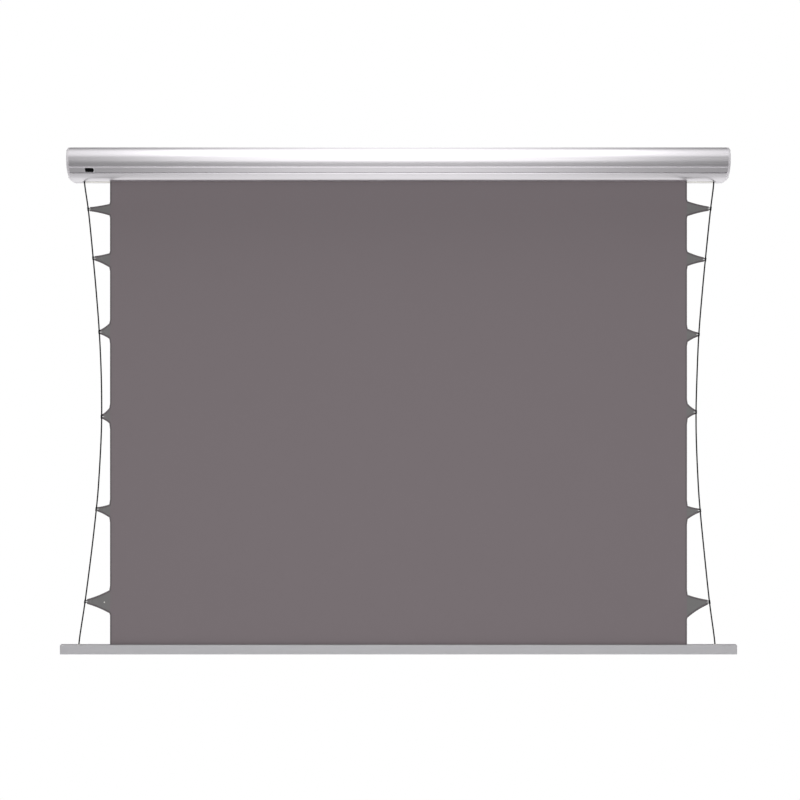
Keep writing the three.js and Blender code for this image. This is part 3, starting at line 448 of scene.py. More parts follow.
def through(points, steps):
    """Centripetal Catmull-Rom curve through points.

    Knots are spaced by the square root of the distance, the ends are mirrored, and each stretch
    is the cubic with the two knots' places and slopes.
    """
    points = np.asarray(points, float)
    padded = np.vstack([2 * points[0] - points[1], points, 2 * points[-1] - points[-2]])
    gap = np.sqrt(np.linalg.norm(np.diff(padded, axis=0), axis=1))[:, None]
    p0, p1, p2, p3 = padded[:-3], padded[1:-2], padded[2:-1], padded[3:]
    d0, d1, d2 = gap[:-2], gap[1:-1], gap[2:]
    m1 = d1 * ((p1 - p0) / d0 - (p2 - p0) / (d0 + d1) + (p2 - p1) / d1)
    m2 = d1 * ((p2 - p1) / d1 - (p3 - p1) / (d1 + d2) + (p3 - p2) / d2)
    t = (np.arange(steps) / steps)[None, :, None]
    a, b = p1[:, None], m1[:, None]
    c = (-3 * p1 + 3 * p2 - 2 * m1 - m2)[:, None]
    d = (2 * p1 - 2 * p2 + m1 + m2)[:, None]
    curve = (a + t * (b + t * (c + t * d))).reshape(-1, points.shape[1])
    return np.vstack([curve, points[-1]])


def make_piece(name, shells, body, slot, replaces=(), looks=(), steep=STEEP, welded=False):
    """One object from its shells, riding on a body, with the record's slot that it is finished as.

    It has the finish of its slot, or those that looks names. Edges steeper than the angle steep
    stay sharp, and welded points that meet become one.
    """
    shells = shells if isinstance(shells, list) else [shells]
    starts = np.cumsum([0] + [len(shell.points) for shell in shells])
    faces = [
        face
        for shell, start in zip(shells, starts)
        for group in shell.groups
        for face in (group + start).tolist()
    ]
    mesh = bpy.data.meshes.new(name)
    mesh.from_pydata(np.vstack([shell.points for shell in shells]).tolist(), [], faces)
    if all(shell.pairs is not None for shell in shells):
        layer = mesh.uv_layers.new(name="surface")
        pairs = np.vstack([shell.pairs for shell in shells])
        layer.data.foreach_set("uv", pairs.astype(np.float32).ravel())
    work = bmesh.new()
    work.from_mesh(mesh)
    if welded:
        bmesh.ops.remove_doubles(work, verts=work.verts, dist=0.01 * MM)
    bmesh.ops.recalc_face_normals(work, faces=work.faces)
    work.to_mesh(mesh)
    work.free()
    for look in looks or [slot]:
        mesh.materials.append(finish(look))
    mesh.shade_smooth()
    mesh.set_sharp_from_angle(angle=math.radians(steep))
    piece = bpy.data.objects.new(name, mesh)
    bpy.context.scene.collection.objects.link(piece)
    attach(piece, body)
    if replaces:
        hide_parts(*replaces)
    return piece


def ease_edges(piece, width, angle=50):
    """Rounds every edge sharper than an angle, with two faces round it."""
    bevel = piece.modifiers.new("eased edges", "BEVEL")
    bevel.width = width
    bevel.segments = 2
    bevel.limit_method = "ANGLE"
    bevel.angle_limit = math.radians(angle)
    return piece


def thicken(piece, thickness):
    """Gives a surface its wall, half to each side, and keeps the result as the mesh."""
    solid = piece.modifiers.new("wall", "SOLIDIFY")
    solid.thickness = thickness
    solid.offset = 0.0
    solid.use_even_offset = True
    settle(piece)
    return piece


def settle(piece):
    """Replaces a piece's mesh by what its modifiers make of it."""
    bpy.context.view_layer.update()
    made = bpy.data.meshes.new_from_object(piece.evaluated_get(bpy.context.evaluated_depsgraph_get()))
    piece.modifiers.clear()
    piece.data = made


def roll_up(piece):
    """Gives a soft piece a mesh of its own, shared with no other object."""
    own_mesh(piece)
    return piece


# Finishes


def add_node(tree, kind, inputs=None, **settings):
    """Adds a node, sets its properties, and fills its inputs with values or other nodes' outputs."""
    node = tree.nodes.new(kind)
    for name, value in settings.items():
        setattr(node, name, value)
    for name, value in (inputs or {}).items():
        if isinstance(value, bpy.types.NodeSocket):
            tree.links.new(value, node.inputs[name])
        else:
            node.inputs[name].default_value = value
    return node


def new_finish(name, base, roughness, metallic=0.0, ior=1.5):
    """A material with one shader, whose even values stand on the shader's own sockets."""
    material = bpy.data.materials.new(name)
    material.use_nodes = True
    shader = material.node_tree.nodes["Principled BSDF"]
    shader.inputs["Base Color"].default_value = base
    shader.inputs["Roughness"].default_value = roughness
    shader.inputs["Metallic"].default_value = metallic
    if metallic < 0.5:
        shader.inputs["IOR"].default_value = ior
    return material, material.node_tree, shader


def add_levels(tree, known, ramps, blends):
    """Works out levels from two tables, and keeps each in known under its name.

    A ramp (value, start, stop, low, high) goes from low to high as the value goes from start to
    stop, along a smooth step unless its row says linear. A blend (share, a, b) is a where the share
    is 0 and b where it is 1. A row names what is known already, or holds a number.
    """
    for name, (value, start, stop, low, high, *shape) in ramps.items():
        ends = {"Value": value, "From Min": start, "From Max": stop, "To Min": low, "To Max": high}
        inputs = {socket: known.get(end, end) for socket, end in ends.items()}
        way = "LINEAR" if shape else "SMOOTHSTEP"
        known[name] = add_node(tree, "ShaderNodeMapRange", inputs, interpolation_type=way).outputs["Result"]
    for name, row in blends.items():
        inputs = {socket: known.get(level, level) for socket, level in zip(("Factor", "A", "B"), row)}
        known[name] = add_node(tree, "ShaderNodeMix", inputs).outputs["Result"]


def shaded(base, factor):
    """A colour with its light scaled, and its opacity kept."""
    return (*(min(1.0, channel * factor) for channel in base[:3]), 1.0)


def speckle(tree, size, stretch=(1, 1, 1), detail=2.0):
    """Noise whose grains measure size metres, longer along each axis by its stretch."""
    place = add_node(tree, "ShaderNodeTexCoord").outputs["Object"]
    scale = tuple(1 / (size * way) for way in stretch)
    scaled = add_node(tree, "ShaderNodeMapping", {"Vector": place, "Scale": scale}).outputs[0]
    noise = add_node(tree, "ShaderNodeTexNoise", {"Vector": scaled, "Scale": 1.0, "Detail": detail})
    return noise.outputs["Fac"]


def vary_colour(tree, shader, pattern, base, darker, lighter):
    """The base colour between two shades of itself, by a pattern."""
    shades = {"Factor": pattern, "A": shaded(base, darker), "B": shaded(base, lighter)}
    mixed = add_node(tree, "ShaderNodeMix", shades, data_type="RGBA")
    tree.links.new(mixed.outputs["Result"], shader.inputs["Base Color"])


def vary_roughness(tree, shader, pattern, smooth, rough):
    """The roughness between two values, by a pattern that keeps mostly between 0.3 and 0.7."""
    ends = {"Value": pattern, "From Min": 0.3, "From Max": 0.7, "To Min": smooth, "To Max": rough}
    ranged = add_node(tree, "ShaderNodeMapRange", ends)
    tree.links.new(ranged.outputs["Result"], shader.inputs["Roughness"])


def raise_by(tree, shader, pattern, depth, strength=0.5):
    """Relief of a given depth in metres."""
    bump = add_node(tree, "ShaderNodeBump", {"Height": pattern, "Distance": depth, "Strength": strength})
    tree.links.new(bump.outputs["Normal"], shader.inputs["Normal"])


def anodised_extrusion(name, base):
    """Satin anodised aluminium. The die leaves fine lines along X, 0.1 mm apart on the real one and
    drawn 0.6 mm apart so that they show, which stretch the highlight across the section."""
    material, tree, shader = new_finish(name, base, 0.3, metallic=1.0)
    lines = speckle(tree, 0.6 * MM, stretch=(4000, 1, 1))
    vary_colour(tree, shader, lines, base, 0.98, 1.015)
    vary_roughness(tree, shader, lines, 0.27, 0.33)
    raise_by(tree, shader, lines, 0.01 * MM, 0.3)
    return material


def painted_moulding(name, base, metallic=0.6):
    """Injection moulded ABS under silver paint: a fine flake, and the mould's soft grain, 0.6 mm."""
    material, tree, shader = new_finish(name, base, 0.38, metallic=metallic)
    flake = speckle(tree, 0.6 * MM)
    vary_colour(tree, shader, flake, base, 0.95, 1.04)
    vary_roughness(tree, shader, flake, 0.33, 0.44)
    raise_by(tree, shader, speckle(tree, 1.4 * MM), 0.02 * MM, 0.3)
    return material


def powder_coat(name, base, roughness=0.5):
    """Powder coated metal: a matt skin with the soft dimples of orange peel, 1.5 mm across."""
    material, tree, shader = new_finish(name, base, roughness)
    peel = speckle(tree, 1.5 * MM)
    vary_colour(tree, shader, peel, base, 0.985, 1.012)
    vary_roughness(tree, shader, peel, roughness - 0.05, roughness + 0.05)
    raise_by(tree, shader, peel, 0.03 * MM, 0.3)
    return material


def moulded_plastic(name, base, roughness=0.45):
    """Plain moulded plastic with a spark eroded grain, 0.5 mm across."""
    material, tree, shader = new_finish(name, base, roughness, ior=1.49)
    grain = speckle(tree, 0.5 * MM)
    vary_colour(tree, shader, grain, base, 0.94, 1.06)
    vary_roughness(tree, shader, grain, roughness - 0.06, roughness + 0.08)
    raise_by(tree, shader, grain, 0.02 * MM, 0.4)
    return material


def bare_metal(name, base, roughness, stretch):
    """Zinc plated or mill finished metal: faint streaks along the way that it was drawn."""
    material, tree, shader = new_finish(name, base, roughness, metallic=1.0)
    streaks = speckle(tree, 1.2 * MM, stretch=stretch)
    vary_colour(tree, shader, streaks, base, 0.9, 1.06)
    vary_roughness(tree, shader, streaks, roughness - 0.08, roughness + 0.1)
    raise_by(tree, shader, streaks, 0.02 * MM, 0.3)
    return material


def projection_vinyl(name, base, roughness=0.9):
    """Calendered vinyl embossed with a matt pearl grain, 0.2 mm on the real one and drawn 0.8 mm,
    so that it scatters light evenly and shows no highlight."""
    material, tree, shader = new_finish(name, base, roughness, ior=1.45)
    shader.inputs["Specular IOR Level"].default_value = 0.25
    grain = speckle(tree, 0.8 * MM)
    vary_colour(tree, shader, grain, base, 0.985, 1.015)
    raise_by(tree, shader, grain, 0.04 * MM, 0.35)
    return material


def braided_cord(name, base, strand):
    """Braided polyester: strands cross round the cord in two hands, sixteen to a turn. The relief is the
    larger of two waves that climb along the cord in opposite hands. The same waves paint shade into the
    braid's valleys and a highlight onto its crests."""
    material, tree, shader = new_finish(name, base, 0.7, ior=1.47)
    shader.inputs["Specular IOR Level"].default_value = 0.25
    pair = add_node(tree, "ShaderNodeTexCoord").outputs["UV"]
    split = add_node(tree, "ShaderNodeSeparateXYZ", {"Vector": pair}).outputs
    waves_round = 8
    around = {0: split["X"], 1: 2 * math.pi * waves_round}
    along = {0: split["Y"], 1: math.pi / strand}
    turn, climb = (add_node(tree, "ShaderNodeMath", way, operation="MULTIPLY") for way in (around, along))
    waves = []
    for hand in ("ADD", "SUBTRACT"):
        phase = add_node(tree, "ShaderNodeMath", {0: turn.outputs[0], 1: climb.outputs[0]}, operation=hand)
        waves.append(add_node(tree, "ShaderNodeMath", {0: phase.outputs[0]}, operation="SINE").outputs[0])
    braid_relief_and_shade = add_node(tree, "ShaderNodeMath", {0: waves[0], 1: waves[1]}, operation="MAXIMUM").outputs[0]
    # Painted shade and highlight: the colour is darker in the braid's valleys and lighter on its crests,
    # following the relief
    vary_colour(tree, shader, braid_relief_and_shade, base, 0.6, 1.4)
    raise_by(tree, shader, braid_relief_and_shade, 0.15 * MM, 0.6)
    return material


def rubber(name, base):
    """Black rubber: dull, with a faint bloom in patches."""
    material, tree, shader = new_finish(name, base, 0.75, ior=1.52)
    bloom = speckle(tree, 3 * MM)
    vary_colour(tree, shader, bloom, base, 0.8, 1.4)
    raise_by(tree, shader, bloom, 0.03 * MM, 0.2)
    return material


def black_lens(name, base):
    """Polished acrylic that looks black: a hard gloss, and faint flow marks from the mould."""
    material, tree, shader = new_finish(name, base, 0.06, ior=1.49)
    shader.inputs["Specular IOR Level"].default_value = 0.15
    flow = speckle(tree, 6 * MM)
    vary_roughness(tree, shader, flow, 0.04, 0.09)
    raise_by(tree, shader, flow, 0.02 * MM, 0.1)
    return material


FINISHES = {}


def finish(name):
    """The finish of that name, made when it is first asked for."""
    if name not in FINISHES:
        screen = bpy.context.scene.projector_screen
        case, sheet, bar = screen.case, screen.sheet, screen.bar
        recipes = {
            "case_metal": lambda: anodised_extrusion("anodised aluminium extrusion", case.metal),
            "cap_finish": lambda: painted_moulding("silver painted moulding", case.cap),
            "lens": lambda: black_lens("black acrylic lens", case.lens),
            "dark_plastic": lambda: moulded_plastic("black nylon moulding", linear("#202022")),
            "zinc_steel": lambda: bare_metal("zinc plated steel", linear("#b4b7b9"), 0.34, (1, 1, 1)),
            "motor_shell": lambda: bare_metal("drawn motor tube", linear("#a9abad"), 0.36, (60, 1, 1)),
            "white_steel": lambda: powder_coat("white powder coat", linear("#dcdcdc")),
            "rubber": lambda: rubber("black rubber", linear("#1a1a1b")),
            "sheet": lambda: projection_vinyl("grey projection vinyl", sheet.front),
            "sheet_back": lambda: projection_vinyl("black vinyl backing", sheet.back, 0.8),
            "tab_cloth": lambda: projection_vinyl("grey tab vinyl", sheet.tab, 0.85),
            "binding": lambda: projection_vinyl("welded binding tape", sheet.edge, 0.8),
            "loop": lambda: projection_vinyl("black loop tape", sheet.loop, 0.8),
            "cord": lambda: braided_cord("black braided cord", screen.cord.black, screen.cord.strand),
            "tube_metal": lambda: bare_metal("mill finish tube", linear("#bcbec0"), 0.36, (80, 1, 1)),
            "nylon": lambda: moulded_plastic("natural nylon", linear("#e0ded8")),
            "bar_metal": lambda: powder_coat("grey powder coat", bar.metal),
            "bar_plug": lambda: moulded_plastic("grey moulded plug", bar.plug),
        }
        FINISHES[name] = recipes[name]()
    return FINISHES[name]


# Curves that more than one piece follows


def cord_path(name, steps=16):
    """The cord's centre line from the roller down into the bar, as (x, y, z)."""
    side = SIDES[name]
    rows = [(CORD_TOP_OUTSET[name] * MM, ROLLER[1] - 0.5 * MM)]
    rows += [(outset * MM, CASE_BOTTOM - DROP * share) for share, outset in CORD_ROUTES[name]]
    end = CORD_END_OUTSET[name] * MM
    rows += [(end, BAR_TOP + 2 * ANCHOR_FLANGE), (end, BAR_TOP - FERRULE_MIDDLE)]
    outset, z = np.array(rows).T
    places = np.column_stack([side * (SHEET_EDGE + outset), np.full(len(z), CORD_Y), z])
    return through(places, steps)


def cord_x(name, z):
    """The cord's X at a height, read off its path."""
    path = cord_path(name, 40)[::-1]
    return np.interp(z, path[:, 2], path[:, 0])


def tab_tip(name, number):
    """The height at which a tab meets its cord."""
    return CASE_BOTTOM - DROP * TABS[name][number][0]


def tab_edge(name, number, way, sheet, steps=24):
    """A tab's upper or lower edge from the sheet to the cord, as (x, z).

    It is the quadratic curve from the root's end to the tip's, drawn in towards the middle.
    """
    _, above, below = TABS[name][number]
    tip = tab_tip(name, number)
    reach = (above if way > 0 else below) * MM
    half = sheet.tip_height / 2
    root_x, tip_x = SIDES[name] * SHEET_EDGE, cord_x(name, tip)
    pulled = (reach + half) * (0.5 - sheet.hollow)
    t = np.linspace(0, 1, steps + 1)
    x = root_x + (tip_x - root_x) * t
    z = tip + way * ((1 - t) ** 2 * reach + 2 * t * (1 - t) * pulled + t**2 * half)
    return np.column_stack([x, z])


def crown_centre(case):
    """Centre of the crown's circle, as (y, z)."""
    return case.crown - CASE_DEPTH, CASE_TOP - case.crown


def belly_centre(case):
    """Centre of the belly's circle, as (y, z)."""
    return case.belly - CASE_DEPTH, CASE_BOTTOM + case.belly


def band_frame(case):
    """The flat band on the front: its top, the directions down its slope and out of the case, and
    the slope's length."""
    top, foot = (np.array(on_belly(case, z, BAND_INSET)) for z in (BAND_TOP, BAND_BOTTOM))
    slope = np.linalg.norm(foot - top)
    down = (foot - top) / slope
    out = np.array([-down[1], down[0]])
    out = out if out[0] < 0 else -out
    return top, down, out, slope


def groove_floor(case):
    """The depth y of the lower shadow groove's floor, behind the band's foot."""
    return on_belly(case, BAND_BOTTOM, BAND_INSET)[0] + GROOVE_DEPTH


def on_belly(case, z, inset=0.0):
    """Point of the belly's circle at a height: its centre less the circle's half width there."""
    centre_y, centre_z = belly_centre(case)
    return centre_y - math.sqrt((case.belly - inset) ** 2 - (z - centre_z) ** 2), z


def belly_angle(case, z, radius):
    """The angle on the belly's circle at which it reaches a height, in degrees."""
    return 180 + math.degrees(math.asin((belly_centre(case)[1] - z) / radius))


class ScreenOperator:
    """What the operators share"""

    bl_options = {"REGISTER", "UNDO"}

    def execute(self, context):
        self.build(context.scene.projector_screen)
        return {"FINISHED"}


class SCREEN_OT_frame_finishes(ScreenOperator, Operator):
    """Give every node of the frame the finish that its record names"""

    bl_idname = "projector_screen.frame_finishes"
    bl_label = "Frame finishes"

    def build(self, screen):
        for row in frame["record"]["subparts"]:
            for material_slot in frame["nodes"][row["node"]].material_slots:
                material_slot.material = finish(row["material_slot"])


class SCREEN_OT_case(ScreenOperator, Operator):
    """Build the two extrusions of the case"""

    bl_idname = "projector_screen.case"
    bl_label = "Case"

    def build(self, screen):
        case = screen.case
        for name, shell, ports, node in (
            ("case_shell", self.upper(case), UPPER_PORTS, "case_upper"),
            ("case_belly", self.cover(case), COVER_PORTS, "case_lower_cover"),
        ):
            shells = [shell, *(self.port(*port) for port in ports)]
            ease_edges(make_piece(name, shells, "housing", "case_metal", [node]), case.eased)

    def upper(self, case):
        """The upper extrusion. Its section goes up the back with the channel, over the crown, down
        the front with the shadow line, the bead and the band, and back along the inside. Between
        the window's two stations the walls between the hole's edges are left out, and four faces
        join the outside to the inside there."""
        wall = case.wall
        inner = case.belly - wall
        crown, belly = crown_centre(case), belly_centre(case)
        band_top, down, out, slope = band_frame(case)
        flange = groove_floor(case)

        def on_band(way, depth):
            """Point (y, z) at a way down the band's slope and a depth inside it."""
            return tuple(band_top + down * way - out * depth)

        hole = (WINDOW_START - PLAY, WINDOW_START + WINDOW_HEIGHT + PLAY)
        low, high = CHANNEL
        lip = CHANNEL_LIP_THICKNESS
        back = [
            (SLOT_REAR, CASE_BOTTOM), (0, CASE_BOTTOM), (0, low + CHANNEL_LIP), (-lip, low + CHANNEL_LIP),
            (-lip, low), (-CHANNEL_DEPTH, low), (-CHANNEL_DEPTH, high), (-lip, high),
            (-lip, high - CHANNEL_LIP), (0, high - CHANNEL_LIP), (0, CASE_TOP),
        ]
        front = [
            *arc(crown, case.crown, 90, 180, 40),
            *arc(belly, case.belly, 180, belly_angle(case, LINE_TOP, case.belly), 12)[1:],
            on_belly(case, LINE_TOP, LINE_DEPTH),
            *[
                on_belly(case, LINE_BOTTOM - BEAD_HEIGHT * share, self.bead(share))
                for share in np.linspace(0, 1, 11)
            ],
            tuple(band_top),
        ]
        band = [on_band(hole[0], 0), on_band(hole[1], 0), on_band(slope, 0), (flange, BAND_BOTTOM)]
        inside = [
            (flange, BAND_BOTTOM + wall),
            on_band(slope - wall, wall),
            on_band(hole[0], wall),
            on_band(0, wall),
            on_belly(case, LINE_BOTTOM - wall / 2, LINE_DEPTH + wall),
            on_belly(case, LINE_TOP + wall, LINE_DEPTH + wall),
            *arc(belly, inner, belly_angle(case, LINE_TOP + 2 * wall, inner), 180, 12),
            *arc(crown, case.crown - wall, 180, 90, 32)[1:],
            (-wall, CASE_TOP - wall), (-wall, high + wall), (-CHANNEL_DEPTH - wall, high + wall),
            (-CHANNEL_DEPTH - wall, low - wall), (-wall, low - wall), (-wall, CASE_BOTTOM + wall),
            (SLOT_REAR, CASE_BOTTOM + wall),
        ]
        section = np.array([*back, *front, *band, *inside])
        outer = len(back) + len(front)
        behind = outer + len(band) + 1
        stations = [-CASE_END, WINDOW_LEFT - PLAY, WINDOW_LEFT + WINDOW_LENGTH + PLAY, CASE_END]
        shell = extruded([section], stations)
        shell.groups[1] = np.delete(shell.groups[1], [outer, behind], axis=0)
        near, far = len(section), 2 * len(section)
        reveals = [
            [near + outer, far + outer, far + behind + 1, near + behind + 1],
            [near + outer + 1, far + outer + 1, far + behind, near + behind],
            [near + outer, near + outer + 1, near + behind, near + behind + 1],
            [far + outer, far + outer + 1, far + behind, far + behind + 1],
        ]
        shell.groups.append(np.array(reveals))
        return shell

    def cover(self, case):
        """The lower extrusion. Its section goes down the tongue behind the groove, round the belly to
        the slot's lip, and back along the inside."""
        wall = case.wall
        inner = case.belly - wall
        belly = belly_centre(case)
        tongue_front = groove_floor(case) + PLAY
        tongue_back = tongue_front + TONGUE[0]
        top = BAND_BOTTOM - GROOVE_HEIGHT
        section = [
            (tongue_front, BAND_BOTTOM + TONGUE[1]),
            (tongue_front, top),
            *arc(belly, case.belly, belly_angle(case, top, case.belly), 270, 32),
            (SLOT_FRONT, CASE_BOTTOM),
            (SLOT_FRONT, CASE_BOTTOM + SLOT_LIP),
            (SLOT_FRONT - wall, CASE_BOTTOM + SLOT_LIP),
            (SLOT_FRONT - wall, CASE_BOTTOM + wall),
            *arc(belly, inner, 270, belly_angle(case, top - wall, inner), 32),
            (tongue_back, top - wall),
            (tongue_back, BAND_BOTTOM + TONGUE[1]),
        ]
        return extruded([np.array(section)], [-CASE_END, CASE_END])

    def bead(self, share):
        """How deep the bead lies at a share of its height: a ramp out of the shadow line up to its
        crest, then a quarter of an ellipse back to the belly."""
        if share < BEAD_CREST:
            return LINE_DEPTH - (LINE_DEPTH + BEAD_PROUD) * share / BEAD_CREST
        return -BEAD_PROUD * math.sqrt(max(0.0, 1 - ((share - BEAD_CREST) / (1 - BEAD_CREST)) ** 2))

    def port(self, y, z, opens):
        """A screw port: a ring open on one side, carried along the case."""
        start, end = opens + PORT_GAP_ANGLE, opens + 360 - PORT_GAP_ANGLE
        ring = [*arc((y, z), PORT_RADIUS, start, end, 20), *arc((y, z), PORT_BORE, end, start, 16)]
        return extruded([np.array(ring)], [-CASE_END, CASE_END])


class SCREEN_OT_end_caps(ScreenOperator, Operator):
    """Build the end caps with their ribs, bosses, screws and the bush for the mains lead"""

    bl_idname = "projector_screen.end_caps"
    bl_label = "End caps"

    def build(self, screen):
        case = screen.case
        for name, side in SIDES.items():
            plate = rounded_plate(
                lambda inset: self.outline(case, inset), side * CASE_END, 0, 0.35 * MM,
                case.cap_thickness, case.cap_edge, 8,
            )
            cap = make_piece(f"end_plate_{name}", plate, "housing", "cap_finish", [f"end_cap_{name}"])
            holes = [(*place, SCREW_HOLE) for place in SCREW_PLACES]
            self.bore(cap, side, case, holes + [(*INLET, INLET_RADIUS)] * (name == "left"))
            self.inner_ribs(case, name, side)
            self.screws(case, name, side)
        self.bush(case)

    def outline(self, case, inset):
        """The case's plain outline in (y, z), drawn in by an inset."""
        corners = [(-inset, CASE_BOTTOM + inset), (-inset, CASE_TOP - inset)]
        crown = arc(crown_centre(case), case.crown - inset, 90, 180, 32)
        belly = arc(belly_centre(case), case.belly - inset, 180, 270, 32)
        return np.array([*corners, *crown, *belly[1:]])

    def bore(self, cap, side, case, holes):
        """Cuts round holes through a cap: each is (y, z, radius)."""
        past = 2 * MM
        rods = [
            lofted(
                turned(
                    [(radius, -past), (radius, case.cap_thickness + past)],
                    (side * CASE_END, y, z), (side, 0, 0), 32,
                )
            )
            for y, z, radius in holes
        ]
        cutter = make_piece("cutter", rods, "housing", "cap_finish")
        cut = cap.modifiers.new("holes", "BOOLEAN")
        cut.operation = "DIFFERENCE"
        cut.object = cutter
        cut.solver = "EXACT"
        settle(cap)
        cap.data.set_sharp_from_angle(angle=math.radians(STEEP))
        bpy.data.objects.remove(cutter)

    def inner_ribs(self, case, name, side):
        """Two ribs that locate the cap in the extrusion, and three bosses that carry the plate."""
        depths = [side * (CASE_END - RIB_LENGTH), side * (CASE_END + ROOT)]
        under = CASE_TOP - case.wall - PLAY
        behind = -CHANNEL_DEPTH - case.wall - PLAY
        blocks = [
            (case.crown - CASE_DEPTH, behind - RIB_CORNER, under - RIB, under),
            (behind - RIB, behind, CASE_BOTTOM + RIB_FOOT, CHANNEL[1] - case.wall),
        ]
        shells = []
        for y0, y1, z0, z1 in blocks:
            shells.append(extruded([np.array([(y0, z0), (y1, z0), (y1, z1), (y0, z1)])], depths))
        for angle in np.radians(BOSS_ANGLES):
            place = ROLLER + BOSS_CIRCLE * np.array([np.cos(angle), np.sin(angle)])
            profile = [(BOSS_RADIUS, -BOSS_LENGTH), (BOSS_RADIUS, ROOT)]
            shells.append(lofted(turned(profile, (side * CASE_END, *place), (side, 0, 0), 32)))
        make_piece(f"end_plate_ribs_{name}", shells, "housing", "cap_finish")

    def screws(self, case, name, side):
        """Button head screws with a hexagonal socket: the socket's radius is its flat's distance
        divided by the cosine of the angle from the nearest flat."""
        sides = 36
        shank, shank_length, flat = 2 * MM, 6 * MM, 1.25 * MM
        facet = 360 / 6
        rim, dome = 0.6 * MM, 1.4 * MM
        angle = 360 * np.arange(sides) / sides
        socket = flat / np.cos(np.radians((angle + facet / 2) % facet - facet / 2))
        profile = [(shank, -shank_length), (shank, 0), (case.screw_radius, 0)]
        profile += [
            (case.screw_radius * np.cos(a), rim + dome * np.sin(a)) for a in np.radians([0, 20, 40, 58])
        ]
        profile += [(socket * 1.1, 1.85 * MM), (socket, 1.7 * MM), (socket, 0.5 * MM)]
        heads = [
            lofted(turned(profile, (side * (CASE_END + case.cap_thickness), *place), (side, 0, 0), sides))
            for place in SCREW_PLACES
        ]
        make_piece(f"end_screws_{name}", heads, "housing", "zinc_steel")

    def bush(self, case):
        """The rubber bush: its closed section turned about the inlet's axis. The outer flange has a
        rounded rim, and a low collar stands round the bore."""
        bore, neck, inner, outer = 3.2 * MM, 5.7 * MM, 8 * MM, 9 * MM
        flange, rim, seat = 2 * MM, 1 * MM, 0.05 * MM
        foot, face = case.cap_thickness, case.cap_thickness + flange
        profile = [(bore, -flange), (inner, -flange), (inner, -seat), (neck, -seat), (neck, foot)]
        profile += [
            (outer + rim * (np.cos(a) - 1), foot + flange * np.sin(a)) for a in np.radians([0, 30, 60, 90])
        ]
        profile += [(5.5 * MM, face), (4.2 * MM, face + 0.6 * MM), (bore, face), (bore, -flange)]
        rings = turned(profile, (-CASE_END, *INLET), (-1, 0, 0))
        shell = Shell(rings, [grid_quads(len(rings), rings.shape[1], closed=True)])
        make_piece("mains_bush", shell, "housing", "rubber", ["power_inlet_grommet"], welded=True)


class SCREEN_OT_window(ScreenOperator, Operator):
    """Build the receiver's lens and the frame round it"""

    bl_idname = "projector_screen.window"
    bl_label = "Receiver window"

    def outline(self, aside, upright, cuts):
        """A rectangle in (x, way down the band), grown to its sides and upright, whose corners are
        each cut off at 45 degrees."""
        x0, x1 = WINDOW_LEFT - aside, WINDOW_LEFT + WINDOW_LENGTH + aside
        z0, z1 = WINDOW_START - upright, WINDOW_START + WINDOW_HEIGHT + upright
        a, b, c, d = (cut * MM for cut in cuts)
        return np.array(
            [
                (x0, z0 + a), (x0 + a, z0), (x1 - b, z0), (x1, z0 + b),
                (x1, z1 - c), (x1 - c, z1), (x0 + d, z1), (x0, z1 - d),
            ]
        )

    def build(self, screen):
        top, down, out, _ = band_frame(screen.case)
        axes = {"origin": (0, *top), "across": (1, 0, 0), "up": (0, *down), "along": (0, *out)}
        lens = extruded([self.outline(-0.2 * MM, -0.1 * MM, WINDOW_CORNERS)], [-2 * MM, 0.1 * MM], **axes)
        ease_edges(make_piece("receiver_lens", lens, "housing", "lens", ["ir_window"]), 0.3 * MM)
        outer = self.outline(0.95 * MM, 0.4 * MM, (1, 1, 1, 1))
        inner = self.outline(-0.1 * MM, 0, WINDOW_CORNERS)
        base, face = -0.6 * MM, 0.35 * MM
        section = [(outer, base), (outer, face), (inner, face), (inner, base), (outer, base)]
        rings = [
            np.column_stack([loop[:, 0], top + np.outer(loop[:, 1], down) + depth * out])
            for loop, depth in section
        ]
        shell = Shell(rings, [grid_quads(len(rings), len(outer), closed=True)])
        bezel = make_piece("receiver_bezel", shell, "housing", "cap_finish", welded=True)
        ease_edges(bezel, 0.15 * MM)


class SCREEN_OT_slot_trim(ScreenOperator, Operator):
    """Build the mouldings that close the case's slot outside the cords, and the cords' guides"""

    bl_idname = "projector_screen.slot_trim"
    bl_label = "Slot trim"

    def build(self, screen):
        front, rear = SLOT_FRONT + PLAY, SLOT_REAR - PLAY
        foot, top = CASE_BOTTOM + 0.4 * MM, CASE_BOTTOM + 7 * MM
        eased = 0.8 * MM
        radius = screen.cord.radius
        behind = CORD_Y + radius + 1.2 * MM
        overlap, clear, short = 15 * MM, 1.4 * MM, 0.2 * MM
        closed = np.array([(front, foot), (rear, foot), (rear, top), (front, top)])
        guide = np.array([(behind, foot), (rear, foot), (rear, top), (behind, top)])
        for name, side in SIDES.items():
            start = SHEET_EDGE + CORD_ROUTES[name][0][1] * MM + radius + clear
            trim = extruded([closed], [side * start, side * (CASE_END - short)])
            ease_edges(make_piece(f"slot_end_{name}", trim, "housing", "cap_finish"), eased)
            rest = extruded([guide], [side * (SHEET_EDGE - overlap), side * (start - PLAY)])
            ease_edges(make_piece(f"cord_guide_{name}", rest, "housing", "nylon"), eased)


